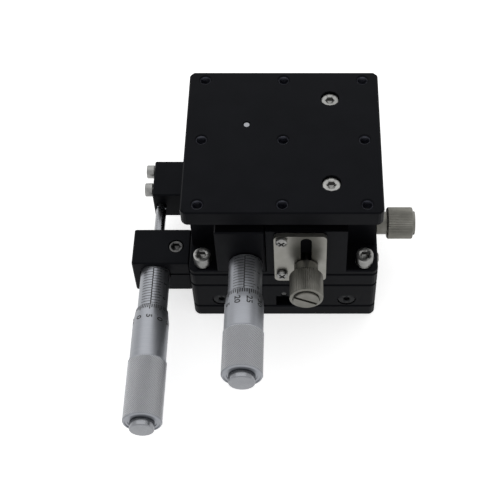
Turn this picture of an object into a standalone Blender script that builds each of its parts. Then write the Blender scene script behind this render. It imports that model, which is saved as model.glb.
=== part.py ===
"""XZ translation stage with two micrometer heads, modelled in metres with +Z up.

The origin is the centre of the base plate's underside. +X points to the right-hand clamp knob,
-Y towards the two micrometers. The lower stage moves its table along Y on crossed rollers, and
the lift on top of it is raised by a wedge that the front micrometer pushes.
"""
import math
from collections import namedtuple

import bmesh
import bpy
from mathutils import Matrix, Vector

# Driving sizes of the whole stage
stage_width = 0.0595
stage_depth = 0.056
corner_chamfer = 0.0013
edge_chamfer = 0.0004
fit_gap = 0.0003
running_gap = 0.00015
cut_overrun = 0.001
weld_distance = 0.000001
head_sunk = 0.0002
seat_overlap = 0.0001
x_travel = 0.0065
drive_travel = 0.006
wedge_ratio = 0.5
stop_clearance = 0.0006

# Base plate, beds and end caps
base_plate_thick = 0.0052
bed_height = 0.0118
bed_width = 0.01225
end_cap_thick = 0.003
bench_hole_radius = 0.00165
bench_hole_inset_x = 0.00975
bench_hole_inset_y = 0.0080
bed_screw_inset_x = 0.00425
bed_screw_inset_y = 0.0112
cap_screw_inset = 0.00945
cap_screw_rise = 0.0036
notch_width = 0.0052
notch_height = 0.0056
stop_pin_radius = 0.0008
stop_pin_rise = 0.0067

# Screws, by thread size
m2_shank = 0.0010
m2_head = 0.0019
m2_head_height = 0.0020
m25_shank = 0.00125
m25_head = 0.00225
m25_head_height = 0.0025
m3_shank = 0.0015
m3_head = 0.00275
m3_head_height = 0.0030
low_head_height = 0.0016
pan_head = 0.00175
pan_head_height = 0.0012
head_chamfer = 0.0002
screw_bite = 0.005
short_bite = 0.004
lock_bite = 0.0035
plate_bite = 0.0025

# Crossed-roller rails, their cages and rollers
rail_width = 0.0041
rail_height = 0.006
rail_gap = 0.0011
roller_radius = 0.0010
roller_length = 0.0018
roller_pitch = 0.004
cage_thick = 0.0005
cage_height = 0.005
x_rail_inset_fixed = 0.004
x_rail_inset_moving = 0.010
x_rail_rise = 0.0067
x_roller_count = 7
lift_rail_top_inset = 0.0033
lift_rail_foot_clearance = 0.0015
lift_rail_offset = 0.0013
lift_roller_count = 3

# Table of the lower stage
table_thick = 0.0057
tongue_overhang = 0.0002
tongue_clearance = 0.0018
lift_screw_inset_x = 0.00435
lift_screw_inset_y = 0.0033

# Micrometer block at the left front, and the lock screw that pinches the sleeve
mic_block_width = 0.01835
mic_block_setback = 0.0044
mic_block_depth = 0.0136
mic_block_height = 0.0150
mic_bore_inset = 0.01125
mic_bore_drop = 0.00603
lock_screw_inset = 0.00455
slit_width = 0.0008
mic_block_screw_rise = 0.0024
mic_block_screw_inset = 0.0036

# Anvil block at the left rear
anvil_block_width = 0.01385
anvil_block_depth = 0.0147
anvil_block_height = 0.0115
anvil_block_setback = 0.0093
anvil_screw_inset_front = 0.00444
anvil_screw_inset_rear = 0.00247
anvil_pin_radius = 0.0015
anvil_pin_proud = 0.0010
anvil_pin_depth = 0.0025

# Long micrometer of the lower stage
x_sleeve_radius = 0.00467
x_sleeve_shown = 0.0144
x_sleeve_hidden = 0.0082
x_thimble_radius = 0.0056
x_flare_length = 0.0038
x_barrel_length = 0.0185
x_knurl_radius = 0.0060
x_knurl_length = 0.0191
x_cap_radius = 0.0038
x_cap_proud = 0.0024

# Short micrometer of the lift
lift_stem_radius = 0.0042
lift_sleeve_radius = 0.00517
lift_sleeve_shown = 0.01265
lift_sleeve_hidden = 0.0077
lift_thimble_radius = 0.00595
lift_flare_length = 0.0032
lift_barrel_length = 0.01275
lift_knurl_radius = 0.0062
lift_knurl_length = 0.0133
lift_cap_radius = 0.00405
lift_cap_proud = 0.0023

# What both micrometers share
spindle_radius = 0.00175
spindle_point = 0.0006
thimble_lip = 0.0002
thimble_end_chamfer = 0.0010
end_recess_depth = 0.0012
end_recess_wall = 0.0012
cap_stud_radius = 0.0013
cap_stud_length = 0.003
cap_rim_chamfer = 0.0006
spindle_seat = 0.006

# Clamp plates and their knobs
clamp_plate_thick = 0.0015
clamp_plate_round = 0.0016
clamp_slot_width = 0.0034
stud_radius = 0.0015
knob_collar_radius = 0.00375
knob_collar_length = 0.0035
knob_radius = 0.0052
knob_length = 0.0092
knob_chamfer = 0.0005
knob_ring_place = 0.0013
knob_ring_width = 0.0005
knob_ring_depth = 0.0004
knob_slot_width = 0.0011
knob_slot_depth = 0.0013
knob_slot_turn = math.radians(15)
x_clamp_setback = 0.0226
x_slot_wall_front = 0.0028
x_slot_wall_rear = 0.0031
x_clamp_plate_drop = 0.0090
x_clamp_plate_top_inset = 0.0001
x_clamp_screw_rise = 0.0032
x_clamp_screw_inset = 0.0035
x_stud_bite = 0.0065
lift_clamp_x = 0.0071
lift_clamp_rise = 0.0056
lift_clamp_plate_reach_left = 0.0098
lift_clamp_plate_reach_right = 0.0062
lift_clamp_plate_foot = 0.0035
lift_clamp_plate_top_inset = 0.0002
lift_clamp_slot_top_wall = 0.0009
lift_clamp_screw_inset = 0.00235
lift_clamp_screw_rise = 0.0043
lift_clamp_screw_drop = 0.0019

# Lift base: flange, cheeks and front wall
flange_thick = 0.0020
wall_height = 0.0208
cheek_setback = 0.00075
cheek_thick = 0.0105
cheek_end_setback = 0.0103
front_wall_reach = 0.0123
front_wall_overlap = 0.0011
front_wall_thick = 0.0070
wall_return_width = 0.0046
wall_return_depth = 0.0130
washer_radius = 0.0027
washer_thick = 0.0007
washer_slit = 0.0005
lift_mic_block_width = 0.0151
lift_mic_block_depth = 0.0086
lift_mic_block_proud = 0.0006
lift_bore_inset = 0.00605
lift_bore_rise = 0.00545

# Wedge and the roller that runs on it
wedge_half_width = 0.0038
wedge_low_thick = 0.0010
wedge_run = 0.014
wedge_head_reach = 0.00295
wedge_head_over = 0.00345
wedge_head_length = 0.0045
wedge_head_clearance = 0.0005
wedge_stem_seat = 0.003
wedge_lead = 0.002
follower_radius = 0.0035
follower_half_width = 0.0040
follower_clearance = 0.0009
follower_pin_radius = 0.0015

# Lift block, clamp arm and top plate
lift_flange_clearance = 0.0013
lift_flange_thick = 0.0028
lift_core_reach_front = 0.0097
lift_core_reach_rear = 0.0103
fork_leg_depth = 0.0084
fork_leg_drop = 0.0026
clamp_arm_width = 0.0070
clamp_arm_thick = 0.0035
clamp_arm_foot = 0.0036
plate_overhang_x = 0.00025
plate_overhang_y = 0.0004
plate_thick = 0.0060
plate_hole_inset_x = 0.0050
plate_hole_inset_y = 0.0034
plate_hole_radius = 0.00165
plate_hole_chamfer = 0.0004
plate_screw_inset_x = 0.0036
plate_screw_inset_y = 0.00265
plate_screw_sunk = 0.0008
dowel_radius = 0.0009
dowel_x = -0.0113
dowel_y = 0.0062
dowel_sunk = 0.0003
dowel_bite = 0.002

# Facets round a full turn, steps round a corner, and shading angles
fine_facets = 28
plain_facets = 18
hole_facets = 16
small_facets = 12
roller_facets = 8
corner_steps = 4
smooth_angle = math.radians(30)
bevel_angle = math.radians(40)

# Levels and faces worked out from the sizes above
half_width = stage_width / 2
half_depth = stage_depth / 2
bed_floor = base_plate_thick + fit_gap
bed_top = bed_floor + bed_height
bed_inner = half_width - bed_width
bed_half_length = half_depth - end_cap_thick - fit_gap
bench_hole_x = half_width - bench_hole_inset_x
bench_hole_y = half_depth - bench_hole_inset_y
bed_screw_x = half_width - bed_screw_inset_x
bed_screw_y = half_depth - bed_screw_inset_y
cap_screw_x = half_width - cap_screw_inset
cap_screw_height = bed_floor + cap_screw_rise
stop_pin_height = bed_floor + stop_pin_rise
x_rail_half_fixed = half_depth - x_rail_inset_fixed
x_rail_half_moving = half_depth - x_rail_inset_moving
x_rail_level = bed_floor + x_rail_rise
table_floor = bed_top + fit_gap
table_top = table_floor + table_thick
table_middle = (table_floor + table_top) / 2
tongue_half_length = x_rail_half_moving + tongue_overhang
tongue_floor = base_plate_thick + tongue_clearance
lift_screw_x = half_width - lift_screw_inset_x
lift_screw_y = half_depth - lift_screw_inset_y
flange_floor = table_top + fit_gap
flange_top = flange_floor + flange_thick
wall_top = flange_top + wall_height
cheek_outer = half_width - cheek_setback
cheek_inner = cheek_outer - cheek_thick
cheek_half_depth = half_depth - cheek_end_setback
front_wall_left = lift_clamp_x - front_wall_reach
front_wall_right = cheek_inner + front_wall_overlap
front_wall_rear = front_wall_thick - half_depth
wall_return_rear = wall_return_depth - half_depth
lift_travel = drive_travel * wedge_ratio
plate_floor = wall_top + lift_travel + stop_clearance
plate_top = plate_floor + plate_thick
lift_flange_top = plate_floor - fit_gap
lift_flange_floor = lift_flange_top - lift_flange_thick
block_face = -(half_width + fit_gap)
mic_block_front = mic_block_setback - half_depth
mic_block_rear = mic_block_front + mic_block_depth
mic_block_floor = table_top - mic_block_height
mic_block_screw_height = mic_block_floor + mic_block_screw_rise
lock_screw_x = block_face - lock_screw_inset
x_mic_x = block_face - mic_bore_inset
x_mic_height = table_top - mic_bore_drop
anvil_block_rear = half_depth - anvil_block_setback
anvil_block_front = anvil_block_rear - anvil_block_depth
anvil_block_floor = table_top - anvil_block_height
x_rail_centre = bed_inner - fit_gap - rail_width - rail_gap / 2
tongue_half_width = x_rail_centre - rail_gap / 2 - rail_width - fit_gap
lift_rail_centre = cheek_inner - fit_gap - rail_width - rail_gap / 2
lift_core_half_width = lift_rail_centre - rail_gap / 2 - rail_width - fit_gap
lift_rail_fixed_floor = flange_top + stop_clearance
lift_rail_fixed_top = wall_top - lift_rail_top_inset
lift_rail_moving_floor = flange_top + lift_travel + lift_rail_foot_clearance
lift_rail_moving_top = lift_flange_floor - fit_gap
lift_cage_middle = (lift_rail_fixed_floor + lift_rail_fixed_top + lift_rail_moving_floor
                    + lift_rail_moving_top) / 4
lift_flange_half_width = cheek_inner - fit_gap
lift_flange_half_depth = half_depth - front_wall_thick - lift_flange_clearance
clamp_recess = half_width - clamp_plate_thick - fit_gap
x_plate_back = clamp_recess + fit_gap
x_plate_face = x_plate_back + clamp_plate_thick
x_slot_reach = x_travel + stud_radius + fit_gap
x_clamp_y = x_clamp_setback - half_depth
x_clamp_plate_front = x_clamp_y - x_slot_reach - x_slot_wall_front
x_clamp_plate_rear = x_clamp_y + x_slot_reach + x_slot_wall_rear
x_clamp_plate_floor = bed_top - x_clamp_plate_drop
x_clamp_plate_top = table_top - x_clamp_plate_top_inset
x_clamp_screw_height = x_clamp_plate_floor + x_clamp_screw_rise
lift_plate_back = -(half_depth + fit_gap)
lift_plate_face = lift_plate_back - clamp_plate_thick
lift_slot_reach = lift_travel + stud_radius + fit_gap
lift_clamp_height = flange_top + lift_clamp_rise
lift_clamp_plate_left = lift_clamp_x - lift_clamp_plate_reach_left
lift_clamp_plate_right = lift_clamp_x + lift_clamp_plate_reach_right
lift_clamp_plate_floor = lift_clamp_height - lift_slot_reach - lift_clamp_plate_foot
lift_clamp_plate_top = wall_top - lift_clamp_plate_top_inset
lift_clamp_screw_x = lift_clamp_plate_left + lift_clamp_screw_inset
lift_clamp_screw_low = lift_clamp_plate_floor + lift_clamp_screw_rise
lift_clamp_screw_high = lift_clamp_plate_top - lift_clamp_screw_drop
clamp_arm_front = front_wall_rear + fit_gap
lift_block_face = -(half_depth + lift_mic_block_proud)
lift_mic_block_right = front_wall_left - fit_gap
lift_mic_block_left = lift_mic_block_right - lift_mic_block_width
lift_mic_block_rear = lift_block_face + lift_mic_block_depth
lift_mic_x = lift_mic_block_right - lift_bore_inset
lift_mic_height = flange_top + lift_bore_rise
wedge_floor = flange_top + fit_gap
wedge_contact = wedge_floor + wedge_low_thick + wedge_ratio * wedge_run / 2
wedge_slope = math.atan(wedge_ratio)
wedge_head_left = lift_mic_x - wedge_head_reach
wedge_head_right = lift_clamp_x - clamp_arm_width / 2 - stop_clearance
wedge_head_top = lift_mic_height + wedge_head_over
wedge_head_front = lift_mic_block_rear + drive_travel + wedge_head_clearance
wedge_head_rear = wedge_head_front + wedge_head_length
wedge_middle = wedge_head_rear + wedge_lead + wedge_run / 2
follower_reach = follower_radius + fit_gap
follower_y = wedge_middle + follower_reach * math.sin(wedge_slope)
follower_height = wedge_contact + follower_reach * math.cos(wedge_slope)
lift_rail_y = follower_y + lift_rail_offset
lift_core_floor = follower_height + follower_radius + follower_clearance
plate_half_width = half_width + plate_overhang_x
plate_half_depth = half_depth + plate_overhang_y
plate_screw_x = lift_flange_half_width - plate_screw_inset_x
plate_screw_y = lift_flange_half_depth - plate_screw_inset_y
anvil_tip = anvil_block_front - anvil_pin_proud
groove_depth = (roller_radius + running_gap) * math.sqrt(2) - rail_gap / 2


# Materials

def finish(piece_name, colour, metallic, roughness):
    """A Principled material of one piece."""
    material = bpy.data.materials.new(piece_name + "_finish")
    material.use_nodes = True
    shader = material.node_tree.nodes["Principled BSDF"]
    shader.inputs["Base Color"].default_value = (*colour, 1)
    shader.inputs["Metallic"].default_value = metallic
    shader.inputs["Roughness"].default_value = roughness
    material.diffuse_color = (*colour, 1)
    return material


def black_anodise(piece_name):
    """Black anodised aluminium of the bodies and plates."""
    return finish(piece_name, (0.012, 0.012, 0.014), 0.2, 0.45)


def black_oxide(piece_name):
    """Blackened steel of the end-cap screws."""
    return finish(piece_name, (0.02, 0.02, 0.02), 0.7, 0.4)


def satin_chrome(piece_name):
    """Satin chrome of the micrometer heads."""
    return finish(piece_name, (0.55, 0.56, 0.58), 0.9, 0.35)


def bright_steel(piece_name):
    """Bright steel of screws, pins and spindles."""
    return finish(piece_name, (0.7, 0.7, 0.69), 1.0, 0.25)


def nickel(piece_name):
    """Warm nickel plating of the clamp plates and knobs."""
    return finish(piece_name, (0.5, 0.48, 0.43), 0.9, 0.32)


def hardened_steel(piece_name):
    """Ground grey steel of rails, rollers and the wedge."""
    return finish(piece_name, (0.4, 0.41, 0.42), 1.0, 0.3)


def cage_brass(piece_name):
    """Brass of the roller cages."""
    return finish(piece_name, (0.6, 0.42, 0.18), 1.0, 0.35)


# Shapes: each of these returns a bmesh of one closed body

def placed(axis, u, v, w):
    """World point of an outline's (u, v) that lies at w along the axis it is swept on."""
    return {"X": (w, u, v), "Y": (u, w, v), "Z": (u, v, w)}[axis]


def closed(bm):
    """The same shape with its faces pointing out."""
    bmesh.ops.recalc_face_normals(bm, faces=bm.faces)
    return bm


def box(x, y, z):
    """A box between three pairs of limits."""
    bm = bmesh.new()
    size = (x[1] - x[0], y[1] - y[0], z[1] - z[0])
    centre = Vector((x[0] + x[1], y[0] + y[1], z[0] + z[1])) / 2
    matrix = Matrix.Translation(centre) @ Matrix.Diagonal((*size, 1))
    bmesh.ops.create_cube(bm, size=1, matrix=matrix)
    return bm


def prism(outline, axis, start, end):
    """A straight sweep of an outline: (x, y) along Z, (y, z) along X or (x, z) along Y."""
    bm = bmesh.new()
    face = bm.faces.new([bm.verts.new(placed(axis, u, v, start)) for u, v in outline])
    swept = bmesh.ops.extrude_face_region(bm, geom=[face])["geom"]
    moved = [item for item in swept if isinstance(item, bmesh.types.BMVert)]
    bmesh.ops.translate(bm, verts=moved, vec=placed(axis, 0, 0, end - start))
    return closed(bm)


def turned(profile, axis, centre, facets):
    """A turned body from (radius, place along the axis), which ends on the axis or is a ring."""
    bm = bmesh.new()
    along = Vector(placed(axis, 0, 0, 1))
    out = Vector(placed(axis, 0, 1, 0))
    points = [bm.verts.new(Vector(centre) + out * r + along * place) for r, place in profile]
    ring = profile[0][0] > 0
    pairs = zip(points, points[1:] + points[:1]) if ring else zip(points, points[1:])
    edges = [bm.edges.new(pair) for pair in pairs]
    bmesh.ops.spin(bm, geom=points + edges, cent=centre, axis=along, angle=2 * math.pi,
                   steps=facets)
    bmesh.ops.remove_doubles(bm, verts=bm.verts, dist=weld_distance)
    return closed(bm)


def chamfered(x, y, cut):
    """Outline of a rectangle with its four corners cut off."""
    return [
        (x[0] + cut, y[0]), (x[1] - cut, y[0]), (x[1], y[0] + cut), (x[1], y[1] - cut),
        (x[1] - cut, y[1]), (x[0] + cut, y[1]), (x[0], y[1] - cut), (x[0], y[0] + cut),
    ]


def rounded(x, y, radius, steps):
    """Outline of a rectangle with round corners, each in a few steps."""
    points = []
    turns = ((x[1], y[0], -1, 1), (x[1], y[1], -1, -1), (x[0], y[1], 1, -1), (x[0], y[0], 1, 1))
    for corner, (u, v, inward_u, inward_v) in enumerate(turns):
        for step in range(steps + 1):
            angle = math.pi / 2 * (corner - 1 + step / steps)
            points.append((u + radius * (inward_u + math.cos(angle)),
                           v + radius * (inward_v + math.sin(angle))))
    return points


def cylinder(axis, centre, radius, start, end, facets):
    """A plain round bar between two places along its axis."""
    return turned([(0, start), (radius, start), (radius, end), (0, end)], axis, centre, facets)


def screw(axis, out, top, size, length):
    """A headed screw of a size (shank, head, head height), with its top on a point."""
    shank, head, head_height = size
    depths = [
        (0, 0), (head - head_chamfer, 0), (head, head_chamfer), (head, head_height),
        (shank, head_height), (shank, head_height + length), (0, head_height + length),
    ]
    return turned([(r, -out * depth) for r, depth in depths], axis, top, small_facets)


def stepped_hole(axis, out, top, steps, facets):
    """A cutter for a hole that starts outside its top and narrows at each (radius, depth)."""
    profile = [(0, out * cut_overrun), (steps[0][0], out * cut_overrun)]
    for (radius, depth), (following, _) in zip(steps, steps[1:] + [(0, 0)]):
        profile += [(radius, -out * depth), (following, -out * depth)]
    return turned(profile, axis, top, facets)


# Objects

def scene_body(name, place, parent=None):
    """An empty that carries the pieces of one moving body."""
    empty = bpy.data.objects.new(name, None)
    bpy.context.scene.collection.objects.link(empty)
    empty.empty_display_size = stage_width / 2
    empty.parent = parent
    empty.location = Vector(place) - (origin_of(parent) if parent else Vector())
    return empty


def origin_of(item):
    """World place of an object from its chain of parents."""
    place = Vector(item.location)
    while item.parent:
        item = item.parent
        place += item.location
    return place


def joined(name, shapes, pivot):
    """One mesh of several shapes, measured from the pivot."""
    bm = bmesh.new()
    mesh = bpy.data.meshes.new(name)
    for shape in shapes:
        shape.to_mesh(mesh)
        bm.from_mesh(mesh)
        shape.free()
    bmesh.ops.translate(bm, verts=bm.verts, vec=-Vector(pivot))
    bm.to_mesh(mesh)
    bm.free()
    return mesh


def piece(name, shapes, look, body=None, pivot=None, smooth=False):
    """A named object made of shapes, with its origin at the pivot."""
    pivot = Vector(pivot) if pivot else (origin_of(body) if body else Vector())
    item = bpy.data.objects.new(name, joined(name, shapes, pivot))
    bpy.context.scene.collection.objects.link(item)
    item.data.materials.append(look(name))
    item.parent = body
    item.location = pivot - (origin_of(body) if body else Vector())
    if smooth:
        item.data.shade_smooth()
        item.data.set_sharp_from_angle(angle=smooth_angle)
    return item


def combine(item, shapes, operation):
    """Cut shapes out of a piece, or join them to it."""
    name = f"{item.name}_{operation.lower()}_{len(item.modifiers)}"
    tool = bpy.data.objects.new(name, joined(name, shapes, origin_of(item)))
    bpy.context.scene.collection.objects.link(tool)
    tool.parent = item
    tool.hide_render = True
    tool.display_type = "WIRE"
    step = item.modifiers.new(name, "BOOLEAN")
    step.operation = operation
    step.solver = "EXACT"
    step.object = tool


def cut(item, *shapes):
    """Cut shapes that lie apart from each other out of a piece."""
    combine(item, shapes, "DIFFERENCE")


def fuse(item, *shapes):
    """Join a shape to a piece."""
    combine(item, shapes, "UNION")


def soften(item, width=edge_chamfer):
    """Break the sharp edges of a piece."""
    step = item.modifiers.new("broken_edges", "BEVEL")
    step.width = width
    step.use_clamp_overlap = True
    step.segments = 1
    step.limit_method = "ANGLE"
    step.angle_limit = bevel_angle


# Groups of alike screws, and the spaces that they need

ScrewGroup = namedtuple("ScrewGroup", "axis out tops size length")
m2 = (m2_shank, m2_head, m2_head_height)
m2_pan = (m2_shank, pan_head, pan_head_height)
m25 = (m25_shank, m25_head, m25_head_height)
m3 = (m3_shank, m3_head, m3_head_height)
m3_low = (m3_shank, m3_head, low_head_height)


def four(x, y):
    """The four places at plus and minus x and y."""
    return [(side_x * x, side_y * y) for side_x in (-1, 1) for side_y in (-1, 1)]


def screws(group):
    """The screws of a group, one shape each."""
    return [screw(group.axis, group.out, top, group.size, group.length) for top in group.tops]


def loose_screws(name, group, look, body):
    """A group whose screws are pieces of their own, with numbered names."""
    return [
        piece(f"{name}_{number}", [shape], look, body, smooth=True)
        for number, shape in enumerate(screws(group), start=1)
    ]


def seated_screws(item, group):
    """A group whose sunk heads are one with the counterbores that they seat in."""
    _, head, head_height = group.size
    steps = [(head + fit_gap, head_height - seat_overlap)]
    pockets = [
        stepped_hole(group.axis, group.out, top, steps, small_facets) for top in group.tops
    ]
    cut(item, *pockets)
    fuse(item, *screws(group))


def sunk_spaces(group):
    """Cutters that clear the heads and shanks of a group by the fit gap."""
    shank, head, head_height = group.size
    steps = [
        (head + fit_gap, head_height + fit_gap),
        (shank + fit_gap, head_height + group.length + fit_gap),
    ]
    return [stepped_hole(group.axis, group.out, top, steps, small_facets) for top in group.tops]


def shank_spaces(group):
    """Cutters that clear only the shanks of a group whose heads stand proud."""
    shank, _, head_height = group.size
    steps = [(shank + fit_gap, head_height + group.length + fit_gap)]
    return [stepped_hole(group.axis, group.out, top, steps, small_facets) for top in group.tops]


def cap_screws(side):
    """The two low-headed screws of an end cap. side is -1 at the front and +1 at the rear."""
    top_y = side * (half_depth - head_sunk)
    tops = [(x, top_y, cap_screw_height) for x in (-cap_screw_x, cap_screw_x)]
    length = end_cap_thick - head_sunk - low_head_height + fit_gap + screw_bite
    return ScrewGroup("Y", side, tops, m3_low, length)


bed_screws = ScrewGroup(
    "Z", -1, [(x, y, head_sunk) for x, y in four(bed_screw_x, bed_screw_y)], m3,
    base_plate_thick - head_sunk - m3_head_height + fit_gap + screw_bite)
mic_block_screws = ScrewGroup(
    "X", -1, [(block_face - mic_block_width + head_sunk, y, mic_block_screw_height)
              for y in (mic_block_front + mic_block_screw_inset,
                        mic_block_rear - mic_block_screw_inset)],
    m2, mic_block_width - head_sunk - m2_head_height + fit_gap + screw_bite)
lock_screw = ScrewGroup(
    "Z", 1, [(lock_screw_x, (mic_block_front + mic_block_rear) / 2, table_top - head_sunk)], m25,
    table_top - head_sunk - m25_head_height - x_mic_height + slit_width / 2 + lock_bite)
anvil_screws = ScrewGroup(
    "X", -1, [(block_face - anvil_block_width - fit_gap - m25_head_height, y, table_middle)
              for y in (anvil_block_front + anvil_screw_inset_front,
                        anvil_block_rear - anvil_screw_inset_rear)],
    m25, fit_gap + anvil_block_width + fit_gap + screw_bite)
x_plate_screws = ScrewGroup(
    "X", 1, [(x_plate_face + fit_gap + pan_head_height, y, x_clamp_screw_height)
             for y in (x_clamp_plate_front + x_clamp_screw_inset,
                       x_clamp_plate_rear - x_clamp_screw_inset)],
    m2_pan, clamp_plate_thick + 2 * fit_gap + screw_bite)
lift_base_screws = ScrewGroup(
    "Z", 1, [(x, y, flange_top + washer_thick + 2 * fit_gap + m3_head_height)
             for x, y in four(lift_screw_x, lift_screw_y)],
    m3, washer_thick + flange_thick + 3 * fit_gap + short_bite)
lift_plate_screws = ScrewGroup(
    "Y", -1, [(lift_clamp_screw_x, lift_plate_face - fit_gap - pan_head_height, z)
              for z in (lift_clamp_screw_low, lift_clamp_screw_high)],
    m2_pan, clamp_plate_thick + 2 * fit_gap + screw_bite)
plate_screws = ScrewGroup(
    "Z", 1, [(plate_screw_x, y, plate_top - plate_screw_sunk)
             for y in (-plate_screw_y, plate_screw_y)],
    m3, plate_thick - plate_screw_sunk - m3_head_height + fit_gap + plate_bite)


# Base

def base_plate(body):
    """Bottom plate with four bench holes and the four sunk screws that hold the beds."""
    outline = chamfered((-half_width, half_width), (-half_depth, half_depth), corner_chamfer)
    item = piece("base_plate", [prism(outline, "Z", 0, base_plate_thick)], black_anodise, body)
    soften(item)
    bench_holes = [
        cylinder("Z", (x, y, 0), bench_hole_radius, -cut_overrun,
                 base_plate_thick + cut_overrun, plain_facets)
        for x, y in four(bench_hole_x, bench_hole_y)
    ]
    cut(item, *bench_holes)
    seated_screws(item, bed_screws)


def base_bed(name, body, side):
    """A bed that carries a fixed rail. side is -1 at the left and +1 at the right."""
    x = sorted((side * bed_inner, side * half_width))
    shape = box(x, (-bed_half_length, bed_half_length), (bed_floor, bed_top))
    item = piece(name, [shape], black_anodise, body)
    soften(item)
    cut(item, *sunk_spaces(bed_screws), *sunk_spaces(cap_screws(-1)), *sunk_spaces(cap_screws(1)))
    return item


def base_beds(body):
    """Left bed with the micrometer block's tapped holes, right bed relieved for the clamp."""
    left = base_bed("base_bed_left", body, -1)
    cut(left, *sunk_spaces(mic_block_screws))
    right = base_bed("base_bed_right", body, 1)
    cut(right, box((clamp_recess, half_width + cut_overrun),
                   (x_clamp_plate_front - fit_gap, x_clamp_plate_rear + fit_gap),
                   (x_clamp_plate_floor - fit_gap, bed_top + cut_overrun)))
    cut(right, *shank_spaces(x_plate_screws))


def end_cap(name, body, side):
    """A cap over the ends of the beds. side is -1 at the front and +1 at the rear."""
    inner = side * (half_depth - end_cap_thick)
    outer = side * half_depth
    shoulder = outer - side * corner_chamfer
    outline = [
        (-half_width, inner), (-half_width, shoulder), (corner_chamfer - half_width, outer),
        (half_width - corner_chamfer, outer), (half_width, shoulder), (half_width, inner),
    ]
    item = piece(name, [prism(outline, "Z", bed_floor, bed_top)], black_anodise, body)
    soften(item)
    return item


def end_caps(body):
    """Front cap with its notch and stop pin, plain rear cap, and the screws of both."""
    front = end_cap("end_cap_front", body, -1)
    reach = (-half_depth - cut_overrun, cut_overrun + end_cap_thick - half_depth)
    cut(front,
        box((-notch_width / 2, notch_width / 2), reach,
            (bed_floor - cut_overrun, bed_floor + notch_height)),
        cylinder("Y", (0, 0, stop_pin_height), stop_pin_radius + fit_gap, *reach, small_facets))
    rear = end_cap("end_cap_rear", body, 1)
    for item, side, word in ((front, -1, "front"), (rear, 1, "rear")):
        cut(item, *sunk_spaces(cap_screws(side)))
        loose_screws(f"end_cap_screw_{word}", cap_screws(side), black_oxide, body)
    pin = cylinder("Y", (0, 0, stop_pin_height), stop_pin_radius, head_sunk - half_depth,
                   end_cap_thick - head_sunk - half_depth, small_facets)
    piece("stop_pin", [pin], bright_steel, body, smooth=True)


# Crossed rollers

def bar(axis, u, v, w):
    """A box with its limits across and along an axis."""
    return box(*zip(placed(axis, u[0], v[0], w[0]), placed(axis, u[1], v[1], w[1])))


def rail(name, body, axis, centre, outward, middle, limits):
    """A rail beside a roller line, with its V groove facing the line."""
    face = centre + outward * rail_gap / 2
    back = face + outward * rail_width
    root = face + outward * groove_depth
    low = middle - rail_height / 2
    high = middle + rail_height / 2
    outline = [
        (face, low), (face, middle - groove_depth), (root, middle),
        (face, middle + groove_depth), (face, high), (back, high), (back, low),
    ]
    piece(name, [prism(outline, axis, *limits)], hardened_steel, body)


def roller_places(count, middle):
    """Places of the rollers along their line."""
    return [middle + roller_pitch * (step - (count - 1) / 2) for step in range(count)]


def cage(name, body, axis, centre, middle, places):
    """A flat strip that carries rollers, which lean left and right in turn."""
    ends = (places[0] - roller_pitch / 2, places[-1] + roller_pitch / 2)
    strip = bar(axis, (centre - cage_thick / 2, centre + cage_thick / 2),
                (middle - cage_height / 2, middle + cage_height / 2), ends)
    item = piece(name, [strip], cage_brass, body)
    rollers = []
    for number, place in enumerate(places):
        lean = math.radians(45) if number % 2 else math.radians(-45)
        roller = cylinder("X", (0, 0, 0), roller_radius, -roller_length / 2, roller_length / 2,
                          roller_facets)
        bmesh.ops.rotate(roller, verts=roller.verts, matrix=Matrix.Rotation(lean, 3, axis))
        bmesh.ops.translate(roller, verts=roller.verts, vec=placed(axis, centre, middle, place))
        rollers.append(roller)
    fuse(item, *rollers)


def x_guides(base, stage, cages):
    """Rails, cages and rollers on both sides of the lower stage."""
    fixed = (-x_rail_half_fixed, x_rail_half_fixed)
    moving = (-x_rail_half_moving, x_rail_half_moving)
    places = roller_places(x_roller_count, 0)
    for side, word in ((-1, "left"), (1, "right")):
        centre = side * x_rail_centre
        rail(f"x_rail_fixed_{word}", base, "Y", centre, side, x_rail_level, fixed)
        rail(f"x_rail_moving_{word}", stage, "Y", centre, -side, x_rail_level, moving)
        cage(f"x_cage_{word}", cages, "Y", centre, x_rail_level, places)


def lift_guides(stage, lift, cages):
    """Upright rails, cages and rollers on both sides of the lift."""
    fixed = (lift_rail_fixed_floor, lift_rail_fixed_top)
    moving = (lift_rail_moving_floor, lift_rail_moving_top)
    places = roller_places(lift_roller_count, lift_cage_middle)
    for side, word in ((-1, "left"), (1, "right")):
        centre = side * lift_rail_centre
        rail(f"lift_rail_fixed_{word}", stage, "Z", centre, side, lift_rail_y, fixed)
        rail(f"lift_rail_moving_{word}", lift, "Z", centre, -side, lift_rail_y, moving)
        cage(f"lift_cage_{word}", cages, "Z", centre, lift_rail_y, places)


# Lower table and what is bolted to it

def x_table(body):
    """Table with a tongue between the rails and a relief for the clamp plate."""
    outline = chamfered((-half_width, half_width), (-half_depth, half_depth), corner_chamfer)
    item = piece("x_table", [prism(outline, "Z", table_floor, table_top)], black_anodise, body)
    soften(item)
    fuse(item, box((-tongue_half_width, tongue_half_width),
                   (-tongue_half_length, tongue_half_length), (tongue_floor, table_middle)))
    cut(item, box((clamp_recess, half_width + cut_overrun),
                  (x_clamp_plate_front - x_travel - fit_gap,
                   x_clamp_plate_rear + x_travel + fit_gap),
                  (table_floor - cut_overrun, table_top + cut_overrun)))
    stud_hole = cylinder("X", (0, x_clamp_y, table_middle), stud_radius + fit_gap,
                         clamp_recess - x_stud_bite - fit_gap, half_width + cut_overrun,
                         plain_facets)
    cut(item, stud_hole, *shank_spaces(anvil_screws), *shank_spaces(lift_base_screws))


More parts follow.
